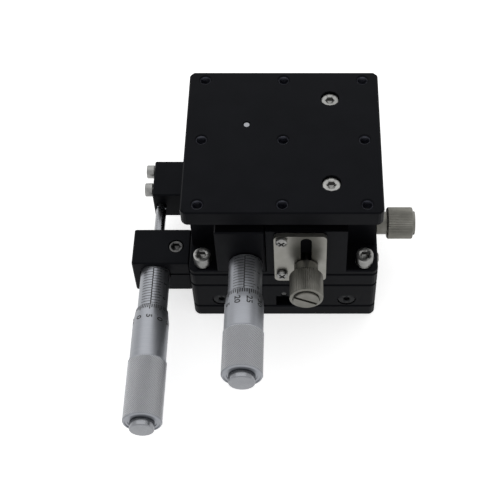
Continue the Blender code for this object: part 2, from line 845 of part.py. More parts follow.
def anvil(body):
    """Block that the long micrometer pushes, with its two screws and its pin."""
    left = block_face - anvil_block_width
    block = box((left, block_face), (anvil_block_front, anvil_block_rear),
                (anvil_block_floor, table_top))
    item = piece("anvil_block", [block], black_anodise, body)
    soften(item)
    centre = (x_mic_x, 0, x_mic_height)
    pin_end = anvil_block_front + anvil_pin_depth
    cut(item, *shank_spaces(anvil_screws),
        cylinder("Y", centre, anvil_pin_radius + fit_gap, anvil_block_front - cut_overrun,
                 pin_end + fit_gap, small_facets))
    loose_screws("anvil_block_screw", anvil_screws, bright_steel, body)
    pin = cylinder("Y", centre, anvil_pin_radius, anvil_tip, pin_end, small_facets)
    piece("anvil_pin", [pin], bright_steel, body, smooth=True)


def slot(axis, u, v, start, end):
    """A cutter with round ends across its narrower way."""
    radius = min(u[1] - u[0], v[1] - v[0]) / 2
    return prism(rounded(u, v, radius, corner_steps), axis, start, end)


def lift_base(body):
    """Flange, two cheeks and a front wall that turns back along the right cheek."""
    outline = chamfered((-half_width, half_width), (-half_depth, half_depth), corner_chamfer)
    item = piece("lift_base", [prism(outline, "Z", flange_floor, flange_top)], black_anodise, body)
    soften(item)
    foot = flange_floor + edge_chamfer
    return_left = front_wall_right - wall_return_width
    wall = [
        (front_wall_left, -half_depth), (front_wall_right, -half_depth),
        (front_wall_right, wall_return_rear), (return_left, wall_return_rear),
        (return_left, front_wall_rear), (front_wall_left, front_wall_rear),
    ]
    fuse(item, *[
        box(sorted((side * cheek_inner, side * cheek_outer)),
            (-cheek_half_depth, cheek_half_depth), (foot, wall_top))
        for side in (-1, 1)
    ])
    fuse(item, prism(wall, "Z", foot, wall_top))
    relief_floor = lift_flange_floor - lift_travel - stop_clearance
    cut(item, box((return_left - cut_overrun, cheek_inner),
                  (-lift_flange_half_depth - fit_gap, wall_return_rear + cut_overrun),
                  (relief_floor, wall_top + cut_overrun)))
    cut(item, slot("Y", (lift_clamp_x - clamp_slot_width / 2, lift_clamp_x + clamp_slot_width / 2),
                   (lift_clamp_height - lift_slot_reach, lift_clamp_height + lift_slot_reach),
                   -half_depth - cut_overrun, front_wall_rear + cut_overrun))
    arm_half_width = clamp_arm_width / 2 + fit_gap
    cut(item, box((lift_clamp_x - arm_half_width, lift_clamp_x + arm_half_width),
                  (front_wall_rear, clamp_arm_front + clamp_arm_thick + fit_gap),
                  (flange_floor - cut_overrun, flange_top + cut_overrun)))
    cut(item, *shank_spaces(lift_base_screws), *shank_spaces(lift_plate_screws))


def lift_base_fixings(body):
    """Screws with split spring washers at the four corners of the flange."""
    floor = flange_top + fit_gap
    for item, (x, y, _) in zip(loose_screws("lift_base_screw", lift_base_screws, bright_steel,
                                            body), lift_base_screws.tops):
        fuse(item, cylinder("Z", (x, y, 0), washer_radius, floor, floor + washer_thick,
                            small_facets))
        outer = y + math.copysign(washer_radius + cut_overrun, y)
        cut(item, box((x - washer_slit / 2, x + washer_slit / 2),
                      sorted((y + math.copysign(m3_shank, y), outer)),
                      (floor - running_gap, floor + washer_thick + running_gap)))


# Micrometers

Micrometer = namedtuple("Micrometer", "word x height tip sleeve_start stem_radius shoulder "
                        "sleeve_radius start sleeve_hidden flare body barrel knurl knurl_length "
                        "cap_radius cap_proud travel")
x_micrometer = Micrometer(
    "x", x_mic_x, x_mic_height, anvil_tip - fit_gap, mic_block_rear - fit_gap, x_sleeve_radius,
    mic_block_front, x_sleeve_radius, mic_block_front - x_sleeve_shown, x_sleeve_hidden,
    x_flare_length, x_thimble_radius, x_barrel_length, x_knurl_radius, x_knurl_length,
    x_cap_radius, x_cap_proud, x_travel)
lift_micrometer = Micrometer(
    "lift", lift_mic_x, lift_mic_height, wedge_head_front - fit_gap,
    lift_mic_block_rear - fit_gap, lift_stem_radius, lift_block_face - fit_gap,
    lift_sleeve_radius, lift_block_face - fit_gap - lift_sleeve_shown, lift_sleeve_hidden,
    lift_flare_length, lift_thimble_radius, lift_barrel_length, lift_knurl_radius,
    lift_knurl_length, lift_cap_radius, lift_cap_proud, drive_travel)


def sleeve_end(mic):
    """Where the sleeve ends inside the thimble."""
    return mic.start - mic.sleeve_hidden


def sleeve(mic, body):
    """Fixed sleeve, thinner inside its block where its stem is."""
    bore = spindle_radius + fit_gap
    profile = [(bore, mic.sleeve_start), (mic.stem_radius, mic.sleeve_start)]
    if mic.stem_radius < mic.sleeve_radius:
        profile += [(mic.stem_radius, mic.shoulder), (mic.sleeve_radius, mic.shoulder)]
    profile += [(mic.sleeve_radius, sleeve_end(mic)), (bore, sleeve_end(mic))]
    shape = turned(profile, "Y", (mic.x, 0, mic.height), fine_facets)
    piece(f"{mic.word}_mic_sleeve", [shape], satin_chrome, body, smooth=True)


def thimble_bore_end(mic):
    """Where the thimble's wide bore ends, clear of the sleeve at full advance."""
    return sleeve_end(mic) - mic.travel - stop_clearance


def spindle(mic, body):
    """Ground spindle from its tip to its seat in the thimble."""
    rear = thimble_bore_end(mic) - spindle_seat
    profile = [
        (0, mic.tip), (spindle_radius - spindle_point, mic.tip),
        (spindle_radius, mic.tip - spindle_point), (spindle_radius, rear), (0, rear),
    ]
    shape = turned(profile, "Y", (mic.x, 0, mic.height), plain_facets)
    piece(f"{mic.word}_spindle", [shape], bright_steel, body, smooth=True)


def thimble(mic, body):
    """Hollow thimble with a flared lip, a knurled band and a recess for the end cap."""
    bore_end = thimble_bore_end(mic)
    seat_end = bore_end - spindle_seat - fit_gap
    inner = mic.sleeve_radius + running_gap
    seat = spindle_radius + running_gap
    knurl_start = mic.start - mic.barrel
    knurl_end = knurl_start - mic.knurl_length
    end = knurl_end - thimble_end_chamfer
    recess = mic.knurl - end_recess_wall
    recess_floor = end + end_recess_depth
    stud = cap_stud_radius + fit_gap
    stud_floor = recess_floor + cap_stud_length
    profile = [
        (0, seat_end), (seat, seat_end), (seat, bore_end), (inner, bore_end),
        (inner, mic.start), (inner + thimble_lip, mic.start), (mic.body, mic.start - mic.flare),
        (mic.body, knurl_start), (mic.knurl, knurl_start), (mic.knurl, knurl_end),
        (mic.knurl - thimble_end_chamfer, end), (recess, end), (recess, recess_floor),
        (stud, recess_floor), (stud, stud_floor), (0, stud_floor),
    ]
    shape = turned(profile, "Y", (mic.x, 0, mic.height), fine_facets)
    piece(f"{mic.word}_thimble", [shape], satin_chrome, body, smooth=True)
    base = recess_floor - fit_gap
    stud_tip = stud_floor - fit_gap
    cap_end = end - mic.cap_proud
    profile = [
        (0, stud_tip), (cap_stud_radius, stud_tip), (cap_stud_radius, base),
        (mic.cap_radius, base), (mic.cap_radius, cap_end + cap_rim_chamfer),
        (mic.cap_radius - cap_rim_chamfer, cap_end), (0, cap_end),
    ]
    shape = turned(profile, "Y", (mic.x, 0, mic.height), plain_facets)
    piece(f"{mic.word}_thimble_cap", [shape], satin_chrome, body, smooth=True)


def x_mic_block(body):
    """Split block that pinches the sleeve of the long micrometer."""
    left = block_face - mic_block_width
    y = (mic_block_front, mic_block_rear)
    item = piece("x_mic_block", [box((left, block_face), y, (mic_block_floor, table_top))],
                 black_anodise, body)
    soften(item)
    through = (mic_block_front - cut_overrun, mic_block_rear + cut_overrun)
    cut(item, cylinder("Y", (x_mic_x, 0, x_mic_height), x_sleeve_radius + fit_gap, *through,
                       fine_facets))
    cut(item, box((x_mic_x, block_face + cut_overrun), through,
                  (x_mic_height - slit_width / 2, x_mic_height + slit_width / 2)))
    cut(item, *sunk_spaces(lock_screw))
    seated_screws(item, mic_block_screws)
    piece("x_mic_lock_screw", screws(lock_screw), bright_steel, body, smooth=True)


def lift_mic_block(body):
    """Upright block that holds the stem of the short micrometer."""
    y = (lift_block_face, lift_mic_block_rear)
    shape = box((lift_mic_block_left, lift_mic_block_right), y, (flange_top + fit_gap, wall_top))
    item = piece("lift_mic_block", [shape], black_anodise, body)
    soften(item)
    cut(item, cylinder("Y", (lift_mic_x, 0, lift_mic_height), lift_stem_radius + fit_gap,
                       y[0] - cut_overrun, y[1] + cut_overrun, fine_facets))


# Clamps

def x_clamp_plate(body):
    """Slotted plate on the right bed, with its two screws."""
    u = (x_clamp_plate_front, x_clamp_plate_rear)
    v = (x_clamp_plate_floor, x_clamp_plate_top)
    outline = rounded(u, v, clamp_plate_round, corner_steps)
    item = piece("x_clamp_plate", [prism(outline, "X", x_plate_back, x_plate_face)], nickel, body)
    through = (x_plate_back - cut_overrun, x_plate_face + cut_overrun)
    cut(item, slot("X", (x_clamp_y - x_slot_reach, x_clamp_y + x_slot_reach),
                   (table_middle - clamp_slot_width / 2, table_middle + clamp_slot_width / 2),
                   *through), *shank_spaces(x_plate_screws))
    loose_screws("x_clamp_plate_screw", x_plate_screws, bright_steel, body)


def lift_clamp_plate(body):
    """Slotted plate on the lift's front wall, with its two screws."""
    u = (lift_clamp_plate_left, lift_clamp_plate_right)
    v = (lift_clamp_plate_floor, lift_clamp_plate_top)
    outline = rounded(u, v, clamp_plate_round, corner_steps)
    item = piece("lift_clamp_plate", [prism(outline, "Y", lift_plate_face, lift_plate_back)],
                 nickel, body)
    through = (lift_plate_face - cut_overrun, lift_plate_back + cut_overrun)
    cut(item, slot("Y", (lift_clamp_x - clamp_slot_width / 2, lift_clamp_x + clamp_slot_width / 2),
                   (lift_clamp_height - lift_slot_reach,
                    lift_clamp_plate_top - lift_clamp_slot_top_wall), *through),
        *shank_spaces(lift_plate_screws))
    loose_screws("lift_clamp_plate_screw", lift_plate_screws, bright_steel, body)


def clamp_knob(name, body, axis, out, centre, stud_length):
    """Knob with a collar, a ring groove, a slotted end and a stud that points inwards."""
    end = knob_collar_length + knob_length
    ring = end - knob_ring_place
    profile = [
        (0, -stud_length), (stud_radius, -stud_length), (stud_radius, 0), (knob_collar_radius, 0),
        (knob_collar_radius, knob_collar_length), (knob_radius - knob_chamfer, knob_collar_length),
        (knob_radius, knob_collar_length + knob_chamfer), (knob_radius, ring - knob_ring_width),
        (knob_radius - knob_ring_depth, ring - knob_ring_width),
        (knob_radius - knob_ring_depth, ring), (knob_radius, ring),
        (knob_radius, end - knob_chamfer), (knob_radius - knob_chamfer, end), (0, end),
    ]
    shape = turned([(r, out * place) for r, place in profile], axis, centre, fine_facets)
    item = piece(name, [shape], nickel, body, smooth=True)
    half = knob_radius + cut_overrun
    along = sorted((out * (end - knob_slot_depth), out * (end + cut_overrun)))
    groove = bar(axis, (-half, half), (-knob_slot_width / 2, knob_slot_width / 2), along)
    bmesh.ops.rotate(groove, verts=groove.verts, matrix=Matrix.Rotation(knob_slot_turn, 3, axis))
    bmesh.ops.translate(groove, verts=groove.verts, vec=centre)
    cut(item, groove)


# Lift

def lift_wedge(body):
    """Wedge with a sloped run and the broad head that the short micrometer pushes."""
    run_top = wedge_contact + wedge_ratio * wedge_run / 2
    run_foot = wedge_contact - wedge_ratio * wedge_run / 2
    run_front = wedge_middle - wedge_run / 2
    run_rear = wedge_middle + wedge_run / 2
    stem_front = wedge_head_front + wedge_stem_seat
    outline = [
        (stem_front, wedge_floor), (run_rear, wedge_floor), (run_rear, run_foot),
        (run_front, run_top), (stem_front, run_top),
    ]
    item = piece("lift_wedge", [prism(outline, "X", -wedge_half_width, wedge_half_width)],
                 hardened_steel, body)
    fuse(item, box((wedge_head_left, wedge_head_right),
                   (wedge_head_front, wedge_head_rear), (wedge_floor, wedge_head_top)))


def follower(lift, body):
    """Roller that runs on the wedge, and the pin that carries it."""
    bore = follower_pin_radius + running_gap
    rim = follower_radius - head_chamfer
    face = follower_half_width
    profile = [
        (bore, -face), (rim, -face), (follower_radius, head_chamfer - face),
        (follower_radius, face - head_chamfer), (rim, face), (bore, face),
    ]
    centre = (0, follower_y, follower_height)
    shape = turned(profile, "X", centre, fine_facets)
    piece("follower_roller", [shape], hardened_steel, body, smooth=True)
    half = lift_core_half_width - fit_gap
    pin = cylinder("X", centre, follower_pin_radius, -half, half, plain_facets)
    piece("follower_pin", [pin], bright_steel, lift, smooth=True)


def lift_block(body):
    """Flange under the top plate, a core between the rails, and a fork for the roller."""
    width = (-lift_flange_half_width, lift_flange_half_width)
    depth = (-lift_flange_half_depth, lift_flange_half_depth)
    item = piece("lift_block", [box(width, depth, (lift_flange_floor, lift_flange_top))],
                 black_anodise, body)
    soften(item)
    core_top = (lift_flange_floor + lift_flange_top) / 2
    fuse(item, box((-lift_core_half_width, lift_core_half_width),
                   (follower_y - lift_core_reach_front, follower_y + lift_core_reach_rear),
                   (lift_core_floor, core_top)))
    legs = (follower_y - fork_leg_depth / 2, follower_y + fork_leg_depth / 2)
    leg_inner = follower_half_width + fit_gap
    fuse(item, *[
        box(sorted((side * leg_inner, side * lift_core_half_width)), legs,
            (follower_height - fork_leg_drop, lift_flange_floor))
        for side in (-1, 1)
    ])
    half = lift_core_half_width + cut_overrun
    cut(item, cylinder("X", (0, follower_y, follower_height), follower_pin_radius + fit_gap,
                       -half, half, plain_facets))
    dowel_floor = lift_flange_top - dowel_bite - fit_gap
    cut(item, *sunk_spaces(plate_screws),
        cylinder("Z", (dowel_x, dowel_y, 0), dowel_radius + fit_gap, dowel_floor,
                 lift_flange_top + cut_overrun, small_facets))


def lift_clamp_arm(body):
    """Upright arm behind the front wall that the clamp knob draws against it."""
    rear = clamp_arm_front + clamp_arm_thick
    shape = box((lift_clamp_x - clamp_arm_width / 2, lift_clamp_x + clamp_arm_width / 2),
                (clamp_arm_front, rear),
                (lift_clamp_height - clamp_arm_foot, lift_flange_floor - fit_gap))
    item = piece("lift_clamp_arm", [shape], black_anodise, body)
    soften(item)
    cut(item, cylinder("Y", (lift_clamp_x, 0, lift_clamp_height), stud_radius + fit_gap,
                       clamp_arm_front - cut_overrun, rear + cut_overrun, plain_facets))


def top_plate(body):
    """Plate with a grid of nine tapped holes, two counterbored screws and a dowel."""
    outline = chamfered((-plate_half_width, plate_half_width),
                        (-plate_half_depth, plate_half_depth), corner_chamfer)
    item = piece("top_plate", [prism(outline, "Z", plate_floor, plate_top)], black_anodise, body)
    soften(item)
    mouth = plate_hole_radius + plate_hole_chamfer
    depth = plate_thick + cut_overrun
    profile = [
        (0, cut_overrun), (mouth + cut_overrun, cut_overrun),
        (plate_hole_radius, -plate_hole_chamfer), (plate_hole_radius, -depth), (0, -depth),
    ]
    hole_x = plate_half_width - plate_hole_inset_x
    hole_y = plate_half_depth - plate_hole_inset_y
    cut(item, *[
        turned(profile, "Z", (x, y, plate_top), hole_facets)
        for x in (-hole_x, 0, hole_x)
        for y in (-hole_y, 0, hole_y)
    ])
    cut(item, *sunk_spaces(plate_screws),
        cylinder("Z", (dowel_x, dowel_y, 0), dowel_radius + fit_gap, plate_floor - cut_overrun,
                 plate_top + cut_overrun, small_facets))
    loose_screws("top_plate_screw", plate_screws, bright_steel, body)
    dowel = cylinder("Z", (dowel_x, dowel_y, 0), dowel_radius, lift_flange_top - dowel_bite,
                     plate_top - dowel_sunk, small_facets)
    piece("dowel_pin", [dowel], bright_steel, body, smooth=True)


# Assembly

for old in list(bpy.data.objects):
    bpy.data.objects.remove(old)

base = scene_body("base", (0, 0, 0))
x_stage = scene_body("x_stage", (0, 0, table_middle), base)
x_cages = scene_body("x_cages", (0, 0, x_rail_level), base)
x_drive = scene_body("x_drive", (x_mic_x, x_micrometer.tip, x_mic_height), base)
x_turning = scene_body("x_turning", (x_mic_x, x_micrometer.start, x_mic_height), x_drive)
x_clamp = scene_body("x_clamp", (half_width + fit_gap, x_clamp_y, table_middle), x_stage)
lift_drive = scene_body("lift_drive", (lift_mic_x, lift_micrometer.tip, lift_mic_height), x_stage)
lift_turning = scene_body("lift_turning", (lift_mic_x, lift_micrometer.start, lift_mic_height),
                          lift_drive)
lift = scene_body("lift", (0, 0, plate_floor), x_stage)
lift_cages = scene_body("lift_cages", (0, lift_rail_y, lift_cage_middle), x_stage)
lift_follower = scene_body("lift_follower", (0, follower_y, follower_height), lift)
lift_clamp = scene_body("lift_clamp", (lift_clamp_x, lift_plate_face - fit_gap,
                                       lift_clamp_height), lift)

base_plate(base)
base_beds(base)
end_caps(base)
x_mic_block(base)
sleeve(x_micrometer, base)
x_clamp_plate(base)
x_guides(base, x_stage, x_cages)
x_table(x_stage)
anvil(x_stage)
spindle(x_micrometer, x_drive)
thimble(x_micrometer, x_turning)
clamp_knob("x_clamp_knob", x_clamp, "X", 1, origin_of(x_clamp),
           half_width + fit_gap - clamp_recess + x_stud_bite)
lift_base(x_stage)
lift_base_fixings(x_stage)
lift_mic_block(x_stage)
sleeve(lift_micrometer, x_stage)
lift_clamp_plate(x_stage)
lift_guides(x_stage, lift, lift_cages)
spindle(lift_micrometer, lift_drive)
lift_wedge(lift_drive)
thimble(lift_micrometer, lift_turning)
lift_block(lift)
lift_clamp_arm(lift)
follower(lift, lift_follower)
top_plate(lift)
clamp_knob("lift_clamp_knob", lift_clamp, "Y", -1, origin_of(lift_clamp),
           clamp_plate_thick + front_wall_thick + clamp_arm_thick + fit_gap)
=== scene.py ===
# %% [markdown]
# # Dressing an XZ translation stage
# This bench stage carries a 60 mm plate to and fro and up and down. Two micrometers set it, and
# two clamp knobs hold it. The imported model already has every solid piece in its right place, from
# plates and rails to plain turned parts. This script loads it as a fixed frame, gives the pieces
# their finishes and makes what a plain solid can't show: fine knurling, engraved scales, sockets
# and threads. Each finer piece takes its place and its main measures from the node that it stands
# for, so nothing drifts out of place.

# %% Load the frame
import math
from collections import namedtuple

import bmesh
import bpy
from mathutils import Matrix, Vector


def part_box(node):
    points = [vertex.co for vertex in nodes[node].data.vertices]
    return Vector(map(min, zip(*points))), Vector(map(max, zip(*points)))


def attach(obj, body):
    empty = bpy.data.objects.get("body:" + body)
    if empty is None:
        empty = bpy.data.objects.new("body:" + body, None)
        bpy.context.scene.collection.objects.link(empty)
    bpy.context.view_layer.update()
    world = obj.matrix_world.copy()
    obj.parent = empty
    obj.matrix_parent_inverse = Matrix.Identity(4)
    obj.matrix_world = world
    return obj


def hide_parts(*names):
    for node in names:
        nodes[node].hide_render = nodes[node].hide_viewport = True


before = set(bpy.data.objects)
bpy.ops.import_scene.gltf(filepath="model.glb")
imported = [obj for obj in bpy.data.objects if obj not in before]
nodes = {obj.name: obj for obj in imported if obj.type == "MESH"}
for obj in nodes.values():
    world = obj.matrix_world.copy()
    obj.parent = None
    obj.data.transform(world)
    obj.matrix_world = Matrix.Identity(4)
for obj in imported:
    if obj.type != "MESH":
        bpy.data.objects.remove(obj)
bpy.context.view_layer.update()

MM = 0.001

# %% [markdown]
# ## How a finish is built
# No metal face has one flat colour: anodised aluminium is faintly cloudy, and turned chrome has
# fine rings. A picture of such a face would need unwrapping, and would show its seams. Noise in
# Object coordinates needs neither, because it runs through the whole piece as grain runs through
# wood. Object coordinates are metres here, so each noise can be given its real size.

# %% A shader, and noise of a real size
NOISE_DETAIL = 3


def shader(name, colour, metallic, roughness, specular=0.5):
    """A new material, its node tree and its Principled node."""
    material = bpy.data.materials.new(name)
    material.use_nodes = True
    tree = material.node_tree
    surface = tree.nodes["Principled BSDF"]
    surface.inputs["Base Color"].default_value = (*colour, 1)
    surface.inputs["Metallic"].default_value = metallic
    surface.inputs["Roughness"].default_value = roughness
    surface.inputs["Specular IOR Level"].default_value = specular
    material.diffuse_color = (*colour, 1)
    return material, tree, surface


def noise_at(tree, size, stretch=(1, 1, 1)):
    """Noise whose blotches are about as wide as size, stretched along each axis."""
    place = tree.nodes.new("ShaderNodeTexCoord")
    mapping = tree.nodes.new("ShaderNodeMapping")
    mapping.inputs["Scale"].default_value = [1 / (size * share) for share in stretch]
    noise = tree.nodes.new("ShaderNodeTexNoise")
    noise.inputs["Scale"].default_value = 1
    noise.inputs["Detail"].default_value = NOISE_DETAIL
    tree.links.new(place.outputs["Object"], mapping.inputs["Vector"])
    tree.links.new(mapping.outputs["Vector"], noise.inputs["Vector"])
    return noise.outputs["Fac"]


print("noise with", NOISE_DETAIL, "octaves of detail")

# %% [markdown]
# Noise can drive a number, a colour or the relief of a face. It seldom leaves the middle of its
# range, so each helper takes that middle for the whole and doesn't waste the ends.

# %% What noise can drive
NOISE_LOW, NOISE_HIGH = 0.3, 0.7
TONE_FROM, TONE_TO = 0.35, 0.65


def spread(tree, value, low, high):
    """Turn noise into a number between low and high."""
    node = tree.nodes.new("ShaderNodeMapRange")
    node.inputs["From Min"].default_value = NOISE_LOW
    node.inputs["From Max"].default_value = NOISE_HIGH
    node.inputs["To Min"].default_value = low
    node.inputs["To Max"].default_value = high
    tree.links.new(value, node.inputs["Value"])
    return node.outputs["Result"]


def tint(tree, value, dark, light, socket):
    """Run a colour between two tones by a value."""
    ramp = tree.nodes.new("ShaderNodeValToRGB")
    ramp.color_ramp.elements[0].position = TONE_FROM
    ramp.color_ramp.elements[0].color = (*dark, 1)
    ramp.color_ramp.elements[1].position = TONE_TO
    ramp.color_ramp.elements[1].color = (*light, 1)
    tree.links.new(value, ramp.inputs["Fac"])
    tree.links.new(ramp.outputs["Color"], socket)


def bump(tree, value, surface, height):
    """Raise the surface by a value, height metres from low to high."""
    node = tree.nodes.new("ShaderNodeBump")
    node.inputs["Strength"].default_value = 1
    node.inputs["Distance"].default_value = height
    tree.links.new(value, node.inputs["Height"])
    tree.links.new(node.outputs["Normal"], surface.inputs["Normal"])


print("noise is used from", NOISE_LOW, "to", NOISE_HIGH, "for numbers and from", TONE_FROM, "to",
      TONE_TO, "for colours")

# %% [markdown]
# ## Black anodise
# The plates and blocks are aluminium, blasted with glass beads and anodised black. The screws of
# the end caps are blackened steel, which looks much the same. A plain dark colour would pass for
# plastic. The film is built of three noises instead: wide clouds in the dye, small patches in the
# roughness, and a grain a few micrometres high that breaks highlights up. What little it reflects
# is slightly blue, which the tint of the specular gives.

# %% Blasted and anodised black
def anodised(name, dark, light, roughness, specular):
    """Blasted metal under a dyed film."""
    clouds, patches, grain = 9 * MM, 2.5 * MM, 0.12 * MM
    uneven, relief = 0.02, 0.004 * MM
    material, tree, surface = shader(name, light, 0, roughness, specular)
    tint(tree, noise_at(tree, clouds), dark, light, surface.inputs["Base Color"])
    tree.links.new(spread(tree, noise_at(tree, patches), roughness - uneven, roughness + uneven),
                   surface.inputs["Roughness"])
    bump(tree, noise_at(tree, grain), surface, relief)
    surface.inputs["Specular Tint"].default_value = (0.8, 0.88, 1, 1)
    return material


black_body = anodised("black_anodise_body", (0.003, 0.003, 0.0038), (0.0042, 0.0042, 0.0053),
                      roughness=0.46, specular=0.05)
black_screw = anodised("blackened_screw", (0.003, 0.003, 0.003), (0.006, 0.006, 0.006),
                       roughness=0.38, specular=0.12)
print("black finishes:", black_body.name, "and", black_screw.name)

# %% [markdown]
# ## Chrome
# The micrometers are turned steel with a satin chrome plate, and their caps and spindles are
# brighter. Turning leaves fine rings round the axis. An anisotropic shader could suggest them, but
# its direction is easily lost when a model is exported. Noise that is squeezed along the axis and
# drawn out across it makes true rings, for colour, roughness and relief at once.

# %% Turned chrome
def turned_metal(name, dark, light, roughness, axis):
    """Metal with the fine rings that turning leaves round an axis."""
    ring, squeeze, draw_out = 0.8 * MM, 0.06, 6
    material, tree, surface = shader(name, light, 1, roughness)
    stretch = [squeeze if letter == axis else draw_out for letter in "XYZ"]
    rings = noise_at(tree, ring, stretch)
    tint(tree, rings, dark, light, surface.inputs["Base Color"])
    tree.links.new(spread(tree, rings, roughness - 0.05, roughness + 0.06),
                   surface.inputs["Roughness"])
    bump(tree, rings, surface, 0.002 * MM)
    return material


chrome = turned_metal("satin_chrome", (0.25, 0.26, 0.28), (0.30, 0.31, 0.335), 0.4, "Y")
bright_chrome = turned_metal("bright_chrome", (0.215, 0.22, 0.235), (0.25, 0.257, 0.272), 0.24, "Y")
print("turned finishes:", chrome.name, "and", bright_chrome.name)

# %% [markdown]
# ## Steel, nickel and brass
# Screws and rails are ground or rolled steel, the clamp knobs and plates are nickel-plated, the
# roller cages are brass, and the scales are filled with dark ink. None of them has a direction, so
# a faint mottle in colour and roughness and a very fine grain are enough for all. Nickel is a
# little warmer than chrome, and the colours look dark on paper because a white room lights them.

# %% Ground, plated and inked finishes
def ground_metal(name, dark, light, roughness, uneven=0.04, metallic=1):
    """Ground or plated metal with a faint mottle and a fine grain."""
    mottle, patches, grain = 3 * MM, 0.7 * MM, 0.2 * MM
    material, tree, surface = shader(name, light, metallic, roughness)
    tint(tree, noise_at(tree, mottle), dark, light, surface.inputs["Base Color"])
    tree.links.new(spread(tree, noise_at(tree, patches), roughness - uneven, roughness + uneven),
                   surface.inputs["Roughness"])
    bump(tree, noise_at(tree, grain), surface, 0.04 * uneven * MM)
    return material


screw_steel = ground_metal("screw_steel", (0.22, 0.22, 0.215), (0.29, 0.29, 0.28), 0.36, 0.01)
dull_steel = ground_metal("dull_steel", (0.05, 0.05, 0.05), (0.08, 0.08, 0.08), 0.34)
rail_steel = ground_metal("rail_steel", (0.22, 0.225, 0.23), (0.28, 0.285, 0.29), 0.3)
tapped_metal = ground_metal("tapped_metal", (0.05, 0.052, 0.066), (0.08, 0.083, 0.1), 0.3, 0.01)
knob_nickel = ground_metal("knob_nickel", (0.14, 0.138, 0.123), (0.17, 0.166, 0.15), 0.4, 0.02)
plate_nickel = ground_metal("plate_nickel", (0.24, 0.237, 0.215), (0.27, 0.265, 0.245), 0.36, 0.01)
cage_metal = ground_metal("cage_brass", (0.34, 0.23, 0.09), (0.42, 0.30, 0.13), 0.34)
scale_ink = ground_metal("scale_ink", (0.008, 0.008, 0.009), (0.016, 0.016, 0.018), 0.6, metallic=0)
print("finishes made:", len(bpy.data.materials), "in all")

# %% [markdown]
# ## Machined bodies
# Blocks, plates, rails and rollers have their right shape in the frame already. They could be
# modelled again with finer edges, but the frame's meshes are the ones that were checked for fit,
# so each keeps its mesh and only takes a better material. What isn't listed is a bright screw.

# %% Dress the frame's own pieces
WEAR = {
    black_body: ("base_plate", "base_bed_left", "base_bed_right", "end_cap_front", "end_cap_rear",
                 "x_table", "x_mic_block", "anvil_block", "lift_base", "lift_mic_block",
                 "lift_block", "lift_clamp_arm", "top_plate"),
    rail_steel: ("x_rail_fixed_left", "x_rail_fixed_right", "x_rail_moving_left",
                 "x_rail_moving_right", "lift_rail_fixed_left", "lift_rail_fixed_right",
                 "lift_rail_moving_left", "lift_rail_moving_right", "lift_wedge",
                 "follower_roller"),
    cage_metal: ("x_cage_left", "x_cage_right", "lift_cage_left", "lift_cage_right"),
    chrome: ("x_mic_sleeve", "lift_mic_sleeve", "x_thimble", "lift_thimble"),
    bright_chrome: ("x_thimble_cap", "lift_thimble_cap", "x_spindle", "lift_spindle",
                    "anvil_pin", "dowel_pin", "follower_pin"),
    dull_steel: ("stop_pin",),
    plate_nickel: ("x_clamp_plate", "lift_clamp_plate"),
    knob_nickel: ("x_clamp_knob", "lift_clamp_knob"),
    black_screw: ("end_cap_screw_front_1", "end_cap_screw_front_2", "end_cap_screw_rear_1",
                  "end_cap_screw_rear_2"),
}
finish_of = {name: material for material, names in WEAR.items() for name in names}
for name, node in nodes.items():
    node.data.materials.clear()
    node.data.materials.append(finish_of.get(name, screw_steel))
print(len(finish_of), "pieces dressed by name,", len(nodes) - len(finish_of), "in bright steel")

# %% [markdown]
# ## Turned shapes
# Micrometers, knobs and screws come off a lathe. They could be stacked from cylinders, but those
# would overlap or leave seams. Here a bmesh does the lathe's work: a profile of (radius, place)
# points is spun once round its axis, which gives one closed mesh with each edge where the tool
# left it. A finished piece's object sits at the origin, with its place in its mesh, so that a
# pattern on Object coordinates stays where it is.

# %% A lathe
MERGE = 0.001 * MM
WAYS = {
    "X": (Vector((1, 0, 0)), Vector((0, 0, 1))),
    "Y": (Vector((0, 1, 0)), Vector((0, 0, 1))),
    "Z": (Vector((0, 0, 1)), Vector((1, 0, 0))),
}


def lathe(profile, axis, centre, steps=96):
    """Spin (radius, place) points once round an axis through a point."""
    ahead, out = WAYS[axis]
    bm = bmesh.new()
    points = [bm.verts.new(Vector(centre) + out * r + ahead * place) for r, place in profile]
    ring = points[1:] + points[:1] if profile[0][0] > 0 else points[1:]
    edges = [bm.edges.new(pair) for pair in zip(points, ring)]
    bmesh.ops.spin(bm, geom=points + edges, cent=centre, axis=ahead, angle=math.tau,
                   steps=steps, use_merge=True)
    bmesh.ops.remove_doubles(bm, verts=bm.verts, dist=MERGE)
    bmesh.ops.recalc_face_normals(bm, faces=bm.faces)
    return bm


print("the lathe turns about", ", ".join(WAYS), "and merges points within", MERGE / MM, "mm")

# %% [markdown]
# ## From a shape to a piece
# A bmesh is only a shape. To become a piece it needs an object, a material, smooth faces with
# sharp edges, and a body of the frame to ride on, so that it moves with it. It may also stand for
# a plain node, which is then hidden. The same few lines serve every piece, so they are a function.

# %% A piece from a bmesh
SHARP = math.radians(30)


def new_piece(name, shape, body, material, stands_for=(), smooth=SHARP):
    """Make an object of a bmesh, give it its material and let it ride on a body."""
    mesh = bpy.data.meshes.new(name)
    shape.to_mesh(mesh)
    shape.free()
    piece = bpy.data.objects.new(name, mesh)
    bpy.context.scene.collection.objects.link(piece)
    mesh.materials.append(material)
    if smooth:
        mesh.shade_smooth()
        mesh.set_sharp_from_angle(angle=smooth)
    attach(piece, body)
    if stands_for:
        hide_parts(*stands_for)
    return piece


# %% [markdown]
# ## Measures of the two micrometers
# Both heads are built alike: a sleeve that stays still, and a thimble that turns round it, with a
# flared lip, a smooth barrel and a knurled grip. Their sizes differ a little. Two sets of loose
# numbers would soon be mixed up, so each head keeps its own measures, and reads what it can from
# its thimble in the frame.

# %% Two heads
def middle(node):
    """Centre of a CAD node's box."""
    node_low, node_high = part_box(node)
    return (node_low + node_high) / 2


